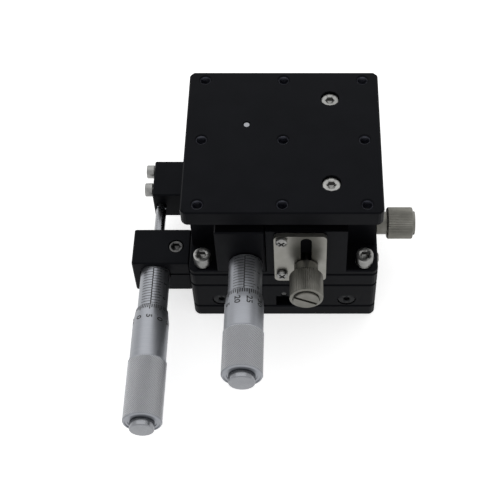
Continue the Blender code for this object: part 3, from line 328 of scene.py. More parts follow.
class Head:
    """A micrometer head's own measures. Places are along Y."""

    def __init__(self, word, sleeve_radius, shoulder, flare, barrel, knurl_from, fixed_to):
        centre = middle(f"{word}_thimble")
        near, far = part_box(f"{word}_thimble")
        self.word = word
        self.x, self.z = centre.x, centre.z
        self.lip, self.end = far.y, near.y
        self.knurl = (far.x - near.x) / 2
        self.sleeve_radius = sleeve_radius
        self.shoulder = shoulder
        self.flare = flare
        self.barrel = barrel
        self.knurl_from = knurl_from
        self.fixed_to = fixed_to
        self.turning = f"{word}_turning"
        print(word, "thimble: radius", round(self.knurl / MM, 2), "length",
              round((far.y - near.y) / MM, 1), "mm")


x_head = Head("x", sleeve_radius=4.67 * MM, shoulder=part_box("x_mic_block")[0].y,
              flare=3.8 * MM, barrel=5.6 * MM, knurl_from=-56.5 * MM, fixed_to="base")
lift_head = Head("lift", sleeve_radius=5.17 * MM, shoulder=-28.9 * MM,
                 flare=3.2 * MM, barrel=5.95 * MM, knurl_from=-54.3 * MM, fixed_to="x_stage")

# %% [markdown]
# ## Engraved marks
# A scale is engraved and filled with ink. Cutting some hundred grooves with booleans would be slow
# and would spoil the tube's mesh, and a drawn texture would blur close up. Thin bars of ink that
# lie half in the metal look the same from any distance. A bar round the sleeve is a small
# rectangle, spun through part of a turn. A bar along it is a flat cube.

# %% Bars that lie on a cylinder
INK = 0.012 * MM
ARC_STEPS = 6


def around(mic, radius, angle, place):
    """A point on a cylinder about the Y axis of a micrometer. Angle 0 is the top."""
    return Vector((mic.x + radius * math.sin(angle), place, mic.z + radius * math.cos(angle)))


def add_shape(target, shape):
    """Add one bmesh to another and free it."""
    mesh = bpy.data.meshes.new("part")
    shape.to_mesh(mesh)
    shape.free()
    target.from_mesh(mesh)
    bpy.data.meshes.remove(mesh)


def arc_mark(target, mic, radius, start, end, place, width):
    """Add a bar that follows the cylinder from one angle to another."""
    bm = bmesh.new()
    inner, outer = radius - INK, radius + INK
    corners = [(inner, place - width / 2), (outer, place - width / 2),
               (outer, place + width / 2), (inner, place + width / 2)]
    face = bm.faces.new([bm.verts.new(around(mic, r, start, y)) for r, y in corners])
    bmesh.ops.spin(bm, geom=[face], cent=(mic.x, 0, mic.z), axis=(0, 1, 0),
                   angle=end - start, steps=ARC_STEPS)
    bmesh.ops.recalc_face_normals(bm, faces=bm.faces)
    add_shape(target, bm)


def line_mark(target, mic, near, far, angle, width):
    """Add a straight bar between two (radius, place) points at one angle."""
    run = Vector((0, far[1] - near[1], far[0] - near[0]))
    size = Matrix.Diagonal((width, run.length, 2 * INK, 1))
    tilt = Matrix.Rotation(math.atan2(run.z, run.y), 4, "X")
    half = Vector((0, (near[1] + far[1]) / 2, (near[0] + far[0]) / 2))
    turn = Matrix.Translation((mic.x, 0, mic.z)) @ Matrix.Rotation(angle, 4, "Y")
    bmesh.ops.create_cube(target, size=1, matrix=turn @ Matrix.Translation(half) @ tilt @ size)


print("a mark is", round(2 * INK / MM, 3), "mm thick, half of it in the metal")

# %% [markdown]
# ## Numerals
# The numbers are engraved in the curved face and read along the axis. A text curve gives clean
# figures, but it is flat. So it is made a mesh first, and then each of its points is laid on the
# cylinder: its height on the page becomes an angle, and its depth stays a distance from the axis.

# %% Numerals bent onto a cylinder
NUMERAL_BOLD = 0.025


def numeral(target, mic, words, radius, angle, place, height):
    """Add a number that reads along the axis, bent onto the cylinder."""
    curve = bpy.data.curves.new("numeral", "FONT")
    curve.body = words
    curve.size = height
    curve.align_x = "CENTER"
    curve.align_y = "CENTER"
    curve.resolution_u = 3
    curve.extrude = INK
    curve.offset = NUMERAL_BOLD * height
    holder = bpy.data.objects.new("numeral", curve)
    bpy.context.scene.collection.objects.link(holder)
    mesh = bpy.data.meshes.new_from_object(holder)
    bpy.data.objects.remove(holder)
    for vertex in mesh.vertices:
        u, v, w = vertex.co
        vertex.co = around(mic, radius + w, angle + v / radius, place - u)
    target.from_mesh(mesh)
    bpy.data.meshes.remove(mesh)


print("numerals are thickened by", NUMERAL_BOLD, "of their height")

# %% [markdown]
# ## Micrometer sleeves
# The sleeve is a plain chromed tube that stays still. Its scale makes it a micrometer: an index
# line along the top, a tick for each millimetre on one side, and half-millimetre ticks on the
# other. The tube could be a cylinder with a bevel, but one profile also draws its bore and the
# thinner stem inside the block, with the small broken edges that catch the light on a real one.
# All the marks of a sleeve are one mesh, since they share one ink and one body.

# %% Sleeves
def sleeve(mic, stem):
    """A smooth sleeve in place of the faceted one. The stem is its part inside the block."""
    near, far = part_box(f"{mic.word}_mic_sleeve")
    bore, rim = 2.05 * MM, 0.15 * MM
    profile = [(bore, far.y), (stem - rim, far.y), (stem, far.y - rim)]
    if stem < mic.sleeve_radius:
        profile += [(stem, mic.shoulder), (mic.sleeve_radius - rim, mic.shoulder),
                    (mic.sleeve_radius, mic.shoulder - rim)]
    profile += [(mic.sleeve_radius, near.y), (bore, near.y)]
    new_piece(f"{mic.word}_sleeve_turned", lathe(profile, "Y", (mic.x, 0, mic.z)), mic.fixed_to,
              chrome, [f"{mic.word}_mic_sleeve"])
    print(mic.word, "sleeve:", round((far.y - near.y) / MM, 1), "mm long")


# %% [markdown]
# The real scale is cut by machine, so its ticks are even. A loop places them from the shoulder of
# the sleeve, one for each millimetre, and each fifth of them is longer and carries a number.

# %% The sleeves' scales
TICK, LINE = 0.2 * MM, 0.36 * MM
GAP, SHORT, LONG, HALF = 0.03, 0.6, 0.74, 0.72
NUMERAL_ANGLE = 0.95


def sleeve_scale(mic, reach):
    """Index line, millimetre ticks on the right and half-millimetre ticks on the left."""
    marks = bmesh.new()
    radius = mic.sleeve_radius
    zero = mic.shoulder - 0.6 * MM
    line_mark(marks, mic, (radius, zero), (radius, zero - reach), 0, LINE)
    for count in range(int(reach / MM)):
        place = zero - count * MM
        arc_mark(marks, mic, radius, GAP, LONG if count % 5 == 0 else SHORT, place, TICK)
        arc_mark(marks, mic, radius, -GAP, -HALF, place - 0.5 * MM, TICK)
    for number in range(0, int(reach / MM) + 1, 5):
        numeral(marks, mic, str(number), radius, NUMERAL_ANGLE, zero - number * MM, 1.7 * MM)
    new_piece(f"{mic.word}_sleeve_scale", marks, mic.fixed_to, scale_ink, smooth=None)
    print(mic.word, "sleeve: index line of", round(reach / MM, 1), "mm")


sleeve(x_head, stem=4.67 * MM)
sleeve_scale(x_head, reach=20.5 * MM)
sleeve(lift_head, stem=4.2 * MM)
sleeve_scale(lift_head, reach=18.5 * MM)

# %% [markdown]
# ## Knurling
# Two crossed sets of fine grooves are rolled into the grip, and leave rows of small pyramids. They
# could be cut with hundreds of booleans, or faked with a bump that vanishes at the outline. On a
# fine turned grid it is enough to sink every second point, in the manner of a chessboard: each
# point left standing is the tip of a pyramid. A square between them is bent then, so it is split
# along its low diagonal, which is the bottom of a groove. With one row, the same gives ribs.

# %% Knurling by moving points of a turned grid
def grid_rows(radius, start, end, rows):
    """Profile points along a cylinder, one for each row of the knurl."""
    return [(radius, start + (end - start) * row / rows) for row in range(rows + 1)]


def knurl(bm, axis, centre, radius, start, end, rows, steps, depth):
    """Sink every second point of a turned grid, and say how many. One row makes straight ribs."""
    ahead, out = WAYS[axis]
    side = ahead.cross(out)
    slack = 0.001
    sunk = set()
    band = set()
    for vertex in bm.verts:
        arm = vertex.co - Vector(centre)
        share = (arm.dot(ahead) - start) / (end - start)
        outward = arm - ahead * arm.dot(ahead)
        if not -slack < share < 1 + slack or outward.length < radius - MERGE:
            continue
        band.add(vertex)
        column = round(math.atan2(arm.dot(side), arm.dot(out)) / math.tau * steps)
        row = round(share * rows) if rows > 1 else 0
        if (column + row) % 2:
            vertex.co -= outward.normalized() * depth
            sunk.add(vertex)
    if rows > 1:
        for face in list(bm.faces):
            if band.issuperset(face.verts):
                bmesh.utils.face_split(face, *[v for v in face.verts if v in sunk])
    return len(sunk)


KNURL_DEPTH = 0.18 * MM
print("a knurl is", round(KNURL_DEPTH / MM, 2), "mm deep on the thimbles")

# %% [markdown]
# The grip's colour carries painted shade and a painted highlight: the foot of each groove is
# painted darker and the tips lighter, as light would fall on them. The distance from the axis tells
# tips from feet,
# and is easy to have: a Mapping node moves the axis to zero and flattens Y, and the length
# of what is left is the radius.

# %% Chrome with painted shade in its grooves and a painted highlight on its tips
def knurled_chrome(mic):
    """Satin chrome with painted shade towards the foot of each groove and a painted highlight on
    the tips, by distance from the axis.
    """
    material, tree, surface = shader(f"knurled_chrome_{mic.word}", (0.3, 0.31, 0.335), 1, 0.36)
    place = tree.nodes.new("ShaderNodeTexCoord")
    flat = tree.nodes.new("ShaderNodeMapping")
    flat.inputs["Location"].default_value = (-mic.x, 0, -mic.z)
    flat.inputs["Scale"].default_value = (1, 0, 1)
    reach = tree.nodes.new("ShaderNodeVectorMath")
    reach.operation = "LENGTH"
    tree.links.new(place.outputs["Object"], flat.inputs["Vector"])
    tree.links.new(flat.outputs["Vector"], reach.inputs[0])
    height = tree.nodes.new("ShaderNodeMapRange")
    height.inputs["From Min"].default_value = mic.knurl - KNURL_DEPTH
    height.inputs["From Max"].default_value = mic.knurl
    tree.links.new(reach.outputs["Value"], height.inputs["Value"])
    # Painted shade at the groove feet, running to a painted highlight on the tips.
    tint(tree, height.outputs["Result"], (0.26, 0.265, 0.28), (0.66, 0.67, 0.69),
         surface.inputs["Base Color"])
    tree.links.new(spread(tree, noise_at(tree, 0.5 * MM), 0.3, 0.42), surface.inputs["Roughness"])
    return material


painted_groove_shade_finish = {mic.word: knurled_chrome(mic) for mic in (x_head, lift_head)}
print("knurled finishes:", ", ".join(finish.name for finish in painted_groove_shade_finish.values()))

# %% [markdown]
# ## Thimbles
# The thimble is the part that the hand turns. It has a thin lip that flares out to a smooth
# barrel, a narrow groove, the knurled grip, and a shallow recess in its end for the cap. All of it
# is one turned piece on the real head, so one long profile draws it, from the bore over the lip to
# the recess. Only the faces of the grip take the knurled finish.

# %% Thimble bodies
GRIP_STEPS = 132
GRIP_ROW = 0.58 * MM
GRIP_SHARP = math.radians(20)
EASE = 0.06 * MM


def thimble_lip(mic):
    """Inner and outer radius of the lip, which just clears the sleeve."""
    inner = mic.sleeve_radius + 0.15 * MM
    return inner, inner + 0.2 * MM


def thimble(mic):
    """Flared and knurled thimble in place of the plain one."""
    inner, rim = thimble_lip(mic)
    flare_end = mic.lip - mic.flare
    bevel = 0.55 * MM
    band_from = mic.knurl_from - 0.35 * MM
    band_to = mic.end + bevel
    rows = 2 * round((band_from - band_to) / GRIP_ROW)
    recess = mic.knurl - 0.75 * MM
    recess_step = recess - 0.9 * MM
    ledge = mic.end + 0.2 * MM
    recess_floor = mic.end + 0.45 * MM
    bore, bore_end = 1.7 * MM, band_to + 3.2 * MM
    profile = [
        (inner, bore_end), (inner, mic.lip - 0.1 * MM), (inner + 0.08 * MM, mic.lip),
        (rim, mic.lip), (mic.barrel - EASE, flare_end + 2 * EASE), (mic.barrel - EASE, flare_end),
        (mic.barrel, flare_end - EASE), (mic.barrel, mic.knurl_from + 0.25 * MM),
        (mic.barrel - 2 * EASE, mic.knurl_from + 2 * EASE), (mic.barrel, mic.knurl_from),
        (mic.knurl - 0.05 * MM, mic.knurl_from),
    ]
    profile += grid_rows(mic.knurl, band_from, band_to, rows)
    profile += [
        (mic.knurl - bevel * 0.45, mic.end + bevel * 0.15), (mic.knurl - bevel, mic.end),
        (recess, mic.end), (recess, ledge), (recess_step, ledge), (recess_step, recess_floor),
        (bore, recess_floor), (bore, bore_end),
    ]
    centre = (mic.x, 0, mic.z)
    shape = lathe(profile, "Y", centre, GRIP_STEPS)
    sunk = knurl(shape, "Y", centre, mic.knurl, band_from, band_to, rows, GRIP_STEPS, KNURL_DEPTH)
    turned = new_piece(f"{mic.word}_thimble_turned", shape, mic.turning, chrome,
                       [f"{mic.word}_thimble"], smooth=GRIP_SHARP)
    # The grip's faces take the chrome with painted groove shade and painted tip highlights.
    turned.data.materials.append(painted_groove_shade_finish[mic.word])
    for face in turned.data.polygons:
        out = math.hypot(face.center.x - mic.x, face.center.z - mic.z)
        if band_to < face.center.y < band_from and out > mic.knurl - 2 * KNURL_DEPTH:
            face.material_index = 1
    print(mic.word, "grip:", rows, "rows,", sunk, "points sunk")


# %% [markdown]
# Fifty graduations stand round the flared lip, each of them a fiftieth of a turn, with a longer
# line and a number at each fifth. They are bars again, tilted to the slope of the flare. The
# reading says which number stands at the index line, so turning the whole scale is one value.

# %% Thimble scales
GRADUATIONS = 50


def thimble_scale(mic, reading):
    """Graduations on the lip and numerals on the barrel, turned to a reading."""
    marks = bmesh.new()
    _, rim = thimble_lip(mic)
    slope = (mic.barrel - EASE - rim) / (mic.flare - 2 * EASE)
    numeral_place = mic.lip - mic.flare - 0.9 * MM
    for line in range(GRADUATIONS):
        angle = (line - reading) / GRADUATIONS * math.tau
        length = (2.0 if line % 5 == 0 else 1.4) * MM
        line_mark(marks, mic, (rim, mic.lip), (rim + slope * length, mic.lip - length), angle,
                  0.33 * MM)
        if line % 5 == 0:
            numeral(marks, mic, str(line), mic.barrel, angle, numeral_place, 2.6 * MM)
    new_piece(f"{mic.word}_thimble_scale", marks, mic.turning, scale_ink, smooth=None)
    print(mic.word, "thimble scale reads", reading)


thimble(x_head)
thimble_scale(x_head, reading=5.1)
thimble(lift_head)
thimble_scale(lift_head, reading=22.6)

# %% [markdown]
# ## End caps
# A small bright cap closes each thimble's end, with a soft rounded rim. A bevel could round it
# after the spin, but a short arc of profile points needs no second step and keeps its rings
# regular.

# %% Bright caps
def rounded_end(radius, end, rim, steps=6):
    """Profile points of a rounded rim that closes on the axis at a place."""
    points = []
    for step in range(steps + 1):
        angle = math.pi / 2 * step / steps
        points.append((radius - rim + rim * math.cos(angle), end + rim - rim * math.sin(angle)))
    return points + [(0, end)]


def thimble_cap(mic):
    """Bright cap in the thimble's recess, on a thin stem."""
    near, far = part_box(f"{mic.word}_thimble_cap")
    radius = (far.x - near.x) / 2
    stem, edge = 1.2 * MM, 0.1 * MM
    base = mic.end + 0.9 * MM
    profile = [(0, far.y), (stem, far.y), (stem, base), (radius - edge, base),
               (radius, base - edge)]
    profile += rounded_end(radius, near.y, 0.45 * MM)
    new_piece(f"{mic.word}_cap_turned", lathe(profile, "Y", (mic.x, 0, mic.z)), mic.turning,
              bright_chrome, [f"{mic.word}_thimble_cap"])
    print(mic.word, "cap: radius", round(radius / MM, 2), "mm")


# %% [markdown]
# ## Spindles
# The spindle is a ground rod that pushes on the anvil or on the wedge. Its tip is lapped flat with
# a small cone round it. It is short work for the lathe, and fewer steps round are enough for it.

# %% Ground spindles
def spindle(mic, body):
    """Ground spindle with a lapped tip."""
    near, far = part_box(f"{mic.word}_spindle")
    radius = (far.x - near.x) / 2
    tip, edge = 0.6 * MM, 0.1 * MM
    profile = [(0, far.y), (radius - tip, far.y), (radius - edge, far.y - tip + edge),
               (radius, far.y - tip - edge), (radius, near.y), (0, near.y)]
    new_piece(f"{mic.word}_spindle_ground", lathe(profile, "Y", (mic.x, 0, mic.z), 64), body,
              bright_chrome, [f"{mic.word}_spindle"])
    print(mic.word, "spindle: radius", round(radius / MM, 2), "mm")


for head, driven in ((x_head, "x_drive"), (lift_head, "lift_drive")):
    thimble_cap(head)
    spindle(head, driven)

# %% [markdown]
# ## Slots and recesses
# A mill cuts the coin slot of a knob and the cross of a small screw. These cuts run right across
# turned faces, so no profile can hold them. A boolean that is applied at once leaves a plain mesh,
# as the mill would leave plain metal.

# %% A cut that stays
def carve(piece, cutter):
    """Cut a shape out of a piece for good."""
    mesh = bpy.data.meshes.new("cutter")
    cutter.to_mesh(mesh)
    cutter.free()
    tool = bpy.data.objects.new("cutter", mesh)
    bpy.context.scene.collection.objects.link(tool)
    step = piece.modifiers.new("cut", "BOOLEAN")
    step.object = tool
    step.solver = "EXACT"
    graph = bpy.context.evaluated_depsgraph_get()
    done = bpy.data.meshes.new_from_object(piece.evaluated_get(graph))
    piece.modifiers.clear()
    piece.data = done
    bpy.data.objects.remove(tool)
    done.shade_smooth()
    done.set_sharp_from_angle(angle=SHARP)
    print(piece.name, "cut, now", len(done.polygons), "faces")


# %% [markdown]
# ## Clamp knobs
# A clamp knob is nickel-plated brass: a collar, a grip with straight knurling, and a smooth boss
# with a slot across it for a coin. The ribs could be an array of thin boxes, but the knurl of one
# row makes them from the turned grip itself, so that they fade into its bevels as on a real knob.

# %% Straight-knurled knobs
KNOB_STEPS = 108
RIB_DEPTH = 0.22 * MM
RIB_SHARP = math.radians(24)


def clamp_knob(node, body, axis, out, slot_turn):
    """Collar, ribbed grip and slotted boss in place of the plain knob. out is its way, 1 or -1."""
    near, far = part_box(node)
    ahead, _ = WAYS[axis]
    index = "XYZ".index(axis)
    radius = ((far - near)[(index + 1) % 3]) / 2
    centre = (near + far) / 2
    centre[index] = 0
    tip = (far if out > 0 else near)[index] * out
    tail = (near if out > 0 else far)[index] * out
    collar_from, grip_from, step = tip - 12.7 * MM, tip - 9.2 * MM, tip - 0.75 * MM
    stud, collar, boss = 1.5 * MM, 3.75 * MM, 3.9 * MM
    bevel, foot, edge = 0.45 * MM, 0.3 * MM, 0.1 * MM
    profile = [
        (0, tail), (stud, tail), (stud, collar_from), (collar - 2 * edge, collar_from),
        (collar, collar_from + 2 * edge), (collar, grip_from), (radius - bevel, grip_from),
        (radius, grip_from + bevel), (radius, step - bevel),
        (radius - bevel * 0.3, step - bevel * 0.3), (radius - bevel, step), (boss + foot, step),
        (boss + foot / 2, step - foot), (boss, step - foot), (boss, tip - edge),
        (boss - edge, tip), (0, tip),
    ]
    shape = lathe([(r, out * place) for r, place in profile], axis, centre, KNOB_STEPS)
    knurl(shape, axis, centre, radius, out * (grip_from + bevel), out * (step - bevel), 1,
          KNOB_STEPS, RIB_DEPTH)
    knob = new_piece(f"{node}_knurled", shape, body, knob_nickel, [node], smooth=RIB_SHARP)
    wide, slim, deep = radius + MM, 0.5 * MM, 0.7 * MM
    spans = {"X": (deep, wide, slim), "Y": (wide, deep, slim)}[axis]
    cutter = bmesh.new()
    bmesh.ops.create_cube(cutter, size=2, matrix=Matrix.Diagonal((*spans, 1)))
    turn = Matrix.Rotation(slot_turn, 4, axis)
    bmesh.ops.transform(cutter, verts=cutter.verts,
                        matrix=Matrix.Translation(centre + ahead * out * tip) @ turn)
    carve(knob, cutter)


clamp_knob("lift_clamp_knob", "lift_clamp", "Y", -1, math.radians(28))
clamp_knob("x_clamp_knob", "x_clamp", "X", 1, math.radians(15))

# %% [markdown]
# ## Where a screw sits
# Screws point up, down, to the front and to the sides. To draw each of them upright and then turn
# it would leave many turns to get wrong. Instead, a bolt reads its axis and its ends from the box
# of its node, and every screw's profile is written along its own outward way.

# %% A bolt's axis and ends
class Bolt:
    """Axis, centre and ends of a screw's box, measured along its outward way."""

    def __init__(self, corners, axis, out):
        near, far = corners
        index = "XYZ".index(axis)
        self.axis = axis
        self.out = out
        self.ahead, self.side = WAYS[axis]
        self.centre = (near + far) / 2
        self.centre[index] = 0
        self.top = (far if out > 0 else near)[index] * out
        self.tail = (near if out > 0 else far)[index] * out

    def turned(self, profile, steps):
        """A turned shape from (radius, place), where place grows outwards."""
        return lathe([(r, self.out * place) for r, place in profile], self.axis, self.centre, steps)

    def at(self, place):
        """Point on the axis at a place."""
        return self.centre + self.ahead * self.out * place


sample = Bolt(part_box("top_plate_screw_1"), "Z", 1)
print("a screw of the top plate is", round((sample.top - sample.tail) / MM, 1), "mm long")

# %% [markdown]
# ## Sockets and threads
# A key fits into a hexagonal socket, which no lathe can turn, and a boolean for each screw would
# be slow. So the socket is turned round, and its rings are then pulled in to a hexagon: at each
# angle the wall lies at half the width over the cosine of the angle to the nearest flat. A thread
# is a helix on the real screw. Rings with the same crests and roots look alike and are closed.

# %% Hexagons and threads
THREAD_ROOT = 0.86


def hexagon(bolt, bm, across, deepest):
    """Pull the points of a round socket in to a hexagon."""
    corner = across / math.sqrt(3)
    third = bolt.ahead.cross(bolt.side)
    for vertex in bm.verts:
        arm = vertex.co - bolt.centre
        place = arm.dot(bolt.ahead) * bolt.out
        flat = arm - bolt.ahead * arm.dot(bolt.ahead)
        if place < deepest or not corner * 0.5 < flat.length < corner * 1.001:
            continue
        angle = math.atan2(arm.dot(third), arm.dot(bolt.side)) % math.radians(60)
        wall = across / 2 / math.cos(angle - math.radians(30))
        vertex.co += flat.normalized() * (wall - flat.length)


def thread(radius, start, end, pitch):
    """Profile points of a thread's roots and crests, as rings that look alike."""
    turns = max(1, round((end - start) / pitch))
    points = []
    for turn in range(turns):
        place = start + (end - start) * turn / turns
        points += [(radius * THREAD_ROOT, place), (radius, place + (end - start) / turns / 2)]
    return points


print("a thread's root is at", THREAD_ROOT, "of its radius")

# %% [markdown]
# ## Socket-head screws
# The plates are held by socket-head screws: bright ones on the top plate, the anvil block and the
# lift's corners, blackened low heads on the end caps, and a dull one that locks the micrometer.
# Their sizes come from the usual metric tables, so a size is a row of named measures, and one
# function turns them all.

# %% Socket-head screws
ScrewSize = namedtuple("ScrewSize", "head height shank key pitch")
M3 = ScrewSize(head=2.75 * MM, height=3.0 * MM, shank=1.5 * MM, key=2.5 * MM, pitch=0.5 * MM)
M3_LOW = M3._replace(height=1.6 * MM, key=2.0 * MM)
M25 = ScrewSize(head=2.25 * MM, height=2.5 * MM, shank=1.25 * MM, key=2.0 * MM, pitch=0.45 * MM)
M25_WIDE = M25._replace(key=2.6 * MM)
HEAD_STEPS = 60


def socket_screw(node, body, axis, out, size, material):
    """A socket-head screw in place of the plain one."""
    bolt = Bolt(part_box(node), axis, out)
    head, shank = size.head, size.shank
    rim, edge = 0.2 * MM, 0.22 * MM
    corner = size.key / math.sqrt(3)
    seat = bolt.top - size.height
    floor = bolt.top - size.height * 0.6
    profile = [(0, bolt.tail), (shank * 0.7, bolt.tail)]
    profile += thread(shank, bolt.tail + 0.3 * MM, seat - 0.2 * MM, size.pitch)
    profile += [
        (shank, seat), (head - rim * 0.5, seat), (head, seat + rim * 0.5), (head, bolt.top - rim),
        (head - rim * 0.3, bolt.top - rim * 0.3), (head - rim, bolt.top),
        (corner + edge, bolt.top), (corner, bolt.top - rim), (corner, floor),
        (0, floor - corner * 0.5),
    ]
    shape = bolt.turned(profile, HEAD_STEPS)
    hexagon(bolt, shape, size.key, floor - 0.01 * MM)
    return new_piece(f"{node}_turned", shape, body, material, [node])


LIFT_CORNERS = (1, 2, 3, 4)
screws = []
for number in (1, 2):
    screws += [
        socket_screw(f"top_plate_screw_{number}", "lift", "Z", 1, M3, screw_steel),
        socket_screw(f"anvil_block_screw_{number}", "x_stage", "X", -1, M25, screw_steel),
        socket_screw(f"end_cap_screw_front_{number}", "base", "Y", -1, M3_LOW, black_screw),
        socket_screw(f"end_cap_screw_rear_{number}", "base", "Y", 1, M3_LOW, black_screw),
    ]
screws.append(socket_screw("x_mic_lock_screw", "base", "Z", 1, M25_WIDE, dull_steel))
for number in LIFT_CORNERS:
    screws.append(socket_screw(f"lift_base_screw_{number}", "x_stage", "Z", 1, M3, screw_steel))
print(len(screws), "socket-head screws")

# %% [markdown]
# ## Spring washers
# Under each corner screw of the lift lies a split ring of square wire, a little twisted so that it
# springs. A ring with a slice cut out would lie flat. Spinning the wire's section through almost a
# whole turn, and moving it along the axis as it goes, leaves both the gap and the twist.

# %% Spring washers
WASHER_STEPS = 40


def spring_washer(number):
    """A split ring under a screw's head, twisted a little along its turn."""
    bolt = Bolt(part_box(f"lift_base_screw_{number}"), "Z", 1)
    floor = bolt.top - M3.height - 1.0 * MM
    inner, outer, thick, twist = 1.6 * MM, 2.7 * MM, 0.7 * MM, 0.22 * MM
    gap = math.radians(12)
    bm = bmesh.new()
    section = [(inner, 0), (outer, 0), (outer, thick), (inner, thick)]
    face = bm.faces.new([bm.verts.new(bolt.at(floor + up) + bolt.side * r) for r, up in section])
    bmesh.ops.spin(bm, geom=[face], cent=bolt.centre, axis=bolt.ahead, angle=math.tau - gap,
                   dvec=bolt.ahead * twist / WASHER_STEPS, steps=WASHER_STEPS)
    bmesh.ops.recalc_face_normals(bm, faces=bm.faces)
    new_piece(f"lift_base_washer_{number}", bm, "x_stage", screw_steel)


for number in LIFT_CORNERS:
    spring_washer(number)
print(len(LIFT_CORNERS), "spring washers")

# %% [markdown]
# ## Sunk screws
# Four screws hold the beds from below, and two more sit in the side of the micrometer block. In
# the frame each of them is one body with what it holds, so no node of its own can be replaced. All
# that shows is the face of its head, so a thin drilled disc is laid on it, with the same hexagon.

# %% Faces of sunk screws
def socket_face(name, axis, out, centre, head, key):
    """The drilled face of a screw whose head is one body with what it holds."""
    half = Vector((head,) * 3)
    half["XYZ".index(axis)] = 0.08 * MM
    bolt = Bolt((centre - half, centre + half), axis, out)
    edge = 0.06 * MM
    corner = key / math.sqrt(3)
    profile = [
        (corner, bolt.tail), (head, bolt.tail), (head, bolt.top - edge), (head - edge, bolt.top),
        (corner + 2 * edge, bolt.top), (corner, bolt.top - edge),
    ]
    shape = bolt.turned(profile, HEAD_STEPS)
    hexagon(bolt, shape, key, bolt.tail - edge)
    new_piece(name, shape, "base", black_screw)


SUNK = 0.1 * MM
BED_INSET_X, BED_INSET_Y = 4.25 * MM, 11.2 * MM
BLOCK_INSET, BLOCK_RISE = 3.6 * MM, 2.4 * MM
base_low, base_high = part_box("base_plate")
block_low, block_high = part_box("x_mic_block")
bed_screws = [(x, y) for x in (base_low.x + BED_INSET_X, base_high.x - BED_INSET_X)
              for y in (base_low.y + BED_INSET_Y, base_high.y - BED_INSET_Y)]
for number, (x, y) in enumerate(bed_screws, start=1):
    socket_face(f"base_bed_screw_face_{number}", "Z", -1, Vector((x, y, SUNK)), 2.7 * MM, 2.5 * MM)
block_screws = (block_low.y + BLOCK_INSET, block_high.y - BLOCK_INSET)
for number, y in enumerate(block_screws, start=1):
    socket_face(f"x_mic_block_screw_face_{number}", "X", -1,
                Vector((block_low.x + SUNK, y, block_low.z + BLOCK_RISE)), 1.85 * MM, 1.5 * MM)
print(len(bed_screws) + len(block_screws), "sunk screw faces")

# %% [markdown]
# ## Small pan-head screws
# The clamp plates are held by small domed screws with a crossed recess. Their dome is an arc in
# the profile. The cross doesn't suit the trick with the rings, since it runs to the rim of the
# dome, so two crossed bars cut it, as the punch drives it in on the real screw.

# %% Domed screws with a cross
DOME_STEPS = 6


def pan_screw(node, body, axis, out):
    """A domed screw with a crossed recess in place of the plain one."""
    bolt = Bolt(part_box(node), axis, out)
    shank, head, height = 1.0 * MM, 1.75 * MM, 1.2 * MM
    seat = bolt.top - height
    profile = [(0, bolt.tail), (shank * 0.7, bolt.tail)]
    profile += thread(shank, bolt.tail + 0.2 * MM, seat - 0.2 * MM, 0.4 * MM)
    profile += [(shank, seat), (head, seat)]
    for step in range(DOME_STEPS + 1):
        angle = math.pi / 2 * step / DOME_STEPS
        profile.append((head * (0.45 + 0.55 * math.cos(angle)),
                        bolt.top - height * 0.55 * (1 - math.sin(angle))))
    profile.append((0, bolt.top))
    screw = new_piece(f"{node}_domed", bolt.turned(profile, 48), body, screw_steel, [node])
    wide, slim, deep = 1.2 * MM, 0.28 * MM, 0.85 * MM
    spans = {"X": (deep, wide, slim), "Y": (wide, deep, slim)}[axis]
    for quarter in (45, 135):
        cutter = bmesh.new()
        bmesh.ops.create_cube(cutter, size=2, matrix=Matrix.Diagonal((*spans, 1)))
        turn = Matrix.Rotation(math.radians(quarter), 4, axis)
        bmesh.ops.transform(cutter, verts=cutter.verts,
                            matrix=Matrix.Translation(bolt.at(bolt.top)) @ turn)
        carve(screw, cutter)


for number in (1, 2):
    pan_screw(f"lift_clamp_plate_screw_{number}", "x_stage", "Y", -1)
    pan_screw(f"x_clamp_plate_screw_{number}", "base", "X", 1)

# %% [markdown]
# ## Tapped holes
# The nine holes of the top plate are tapped, and light catches the crests of their threads just
# under the chamfer. A full helix would cost many faces for so small a place. Rings of a zigzag
# profile look alike from above, so a thin threaded sleeve is spun once for each hole, just inside
# its wall. The plate's own mesh stays as it is.

# %% Threads in the top plate's holes
def tapped_thread(number, x, y, top):
    """A thin sleeve with a zigzag bore, just inside one hole."""
    wall, root, crest, pitch, turns = 1.61 * MM, 1.57 * MM, 1.36 * MM, 0.7 * MM, 5
    profile = [(wall, top), (root, top)]
    for turn in range(turns):
        start = top - turn * pitch
        profile += [(crest, start - pitch / 2), (root, start - pitch)]
    profile.append((wall, top - turns * pitch))
    new_piece(f"top_plate_thread_{number}", lathe(profile, "Z", (x, y, 0), 32), "lift",
              tapped_metal)


HOLE_INSET_X, HOLE_INSET_Y = 5 * MM, 3.4 * MM
CHAMFER = 0.42 * MM
plate_low, plate_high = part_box("top_plate")
rows = (plate_low.y + HOLE_INSET_Y, (plate_low.y + plate_high.y) / 2, plate_high.y - HOLE_INSET_Y)
columns = (plate_low.x + HOLE_INSET_X, (plate_low.x + plate_high.x) / 2,
           plate_high.x - HOLE_INSET_X)
holes = [(x, y) for y in rows for x in columns]
for number, (x, y) in enumerate(holes, start=1):
    tapped_thread(number, x, y, plate_high.z - CHAMFER)
print(len(holes), "threaded holes")

# %% [markdown]
# ## A white room
# The stage stands in a studio, white all round. Enough lamps to make a room white would wash the
# metal out. So the background and the floor have two faces: what the camera and the reflections
# see is pure white, and what lights the object is weaker. Light Path tells the two kinds of ray
# apart, and mirror rays count as seen, so that the chrome shows the white room as well.

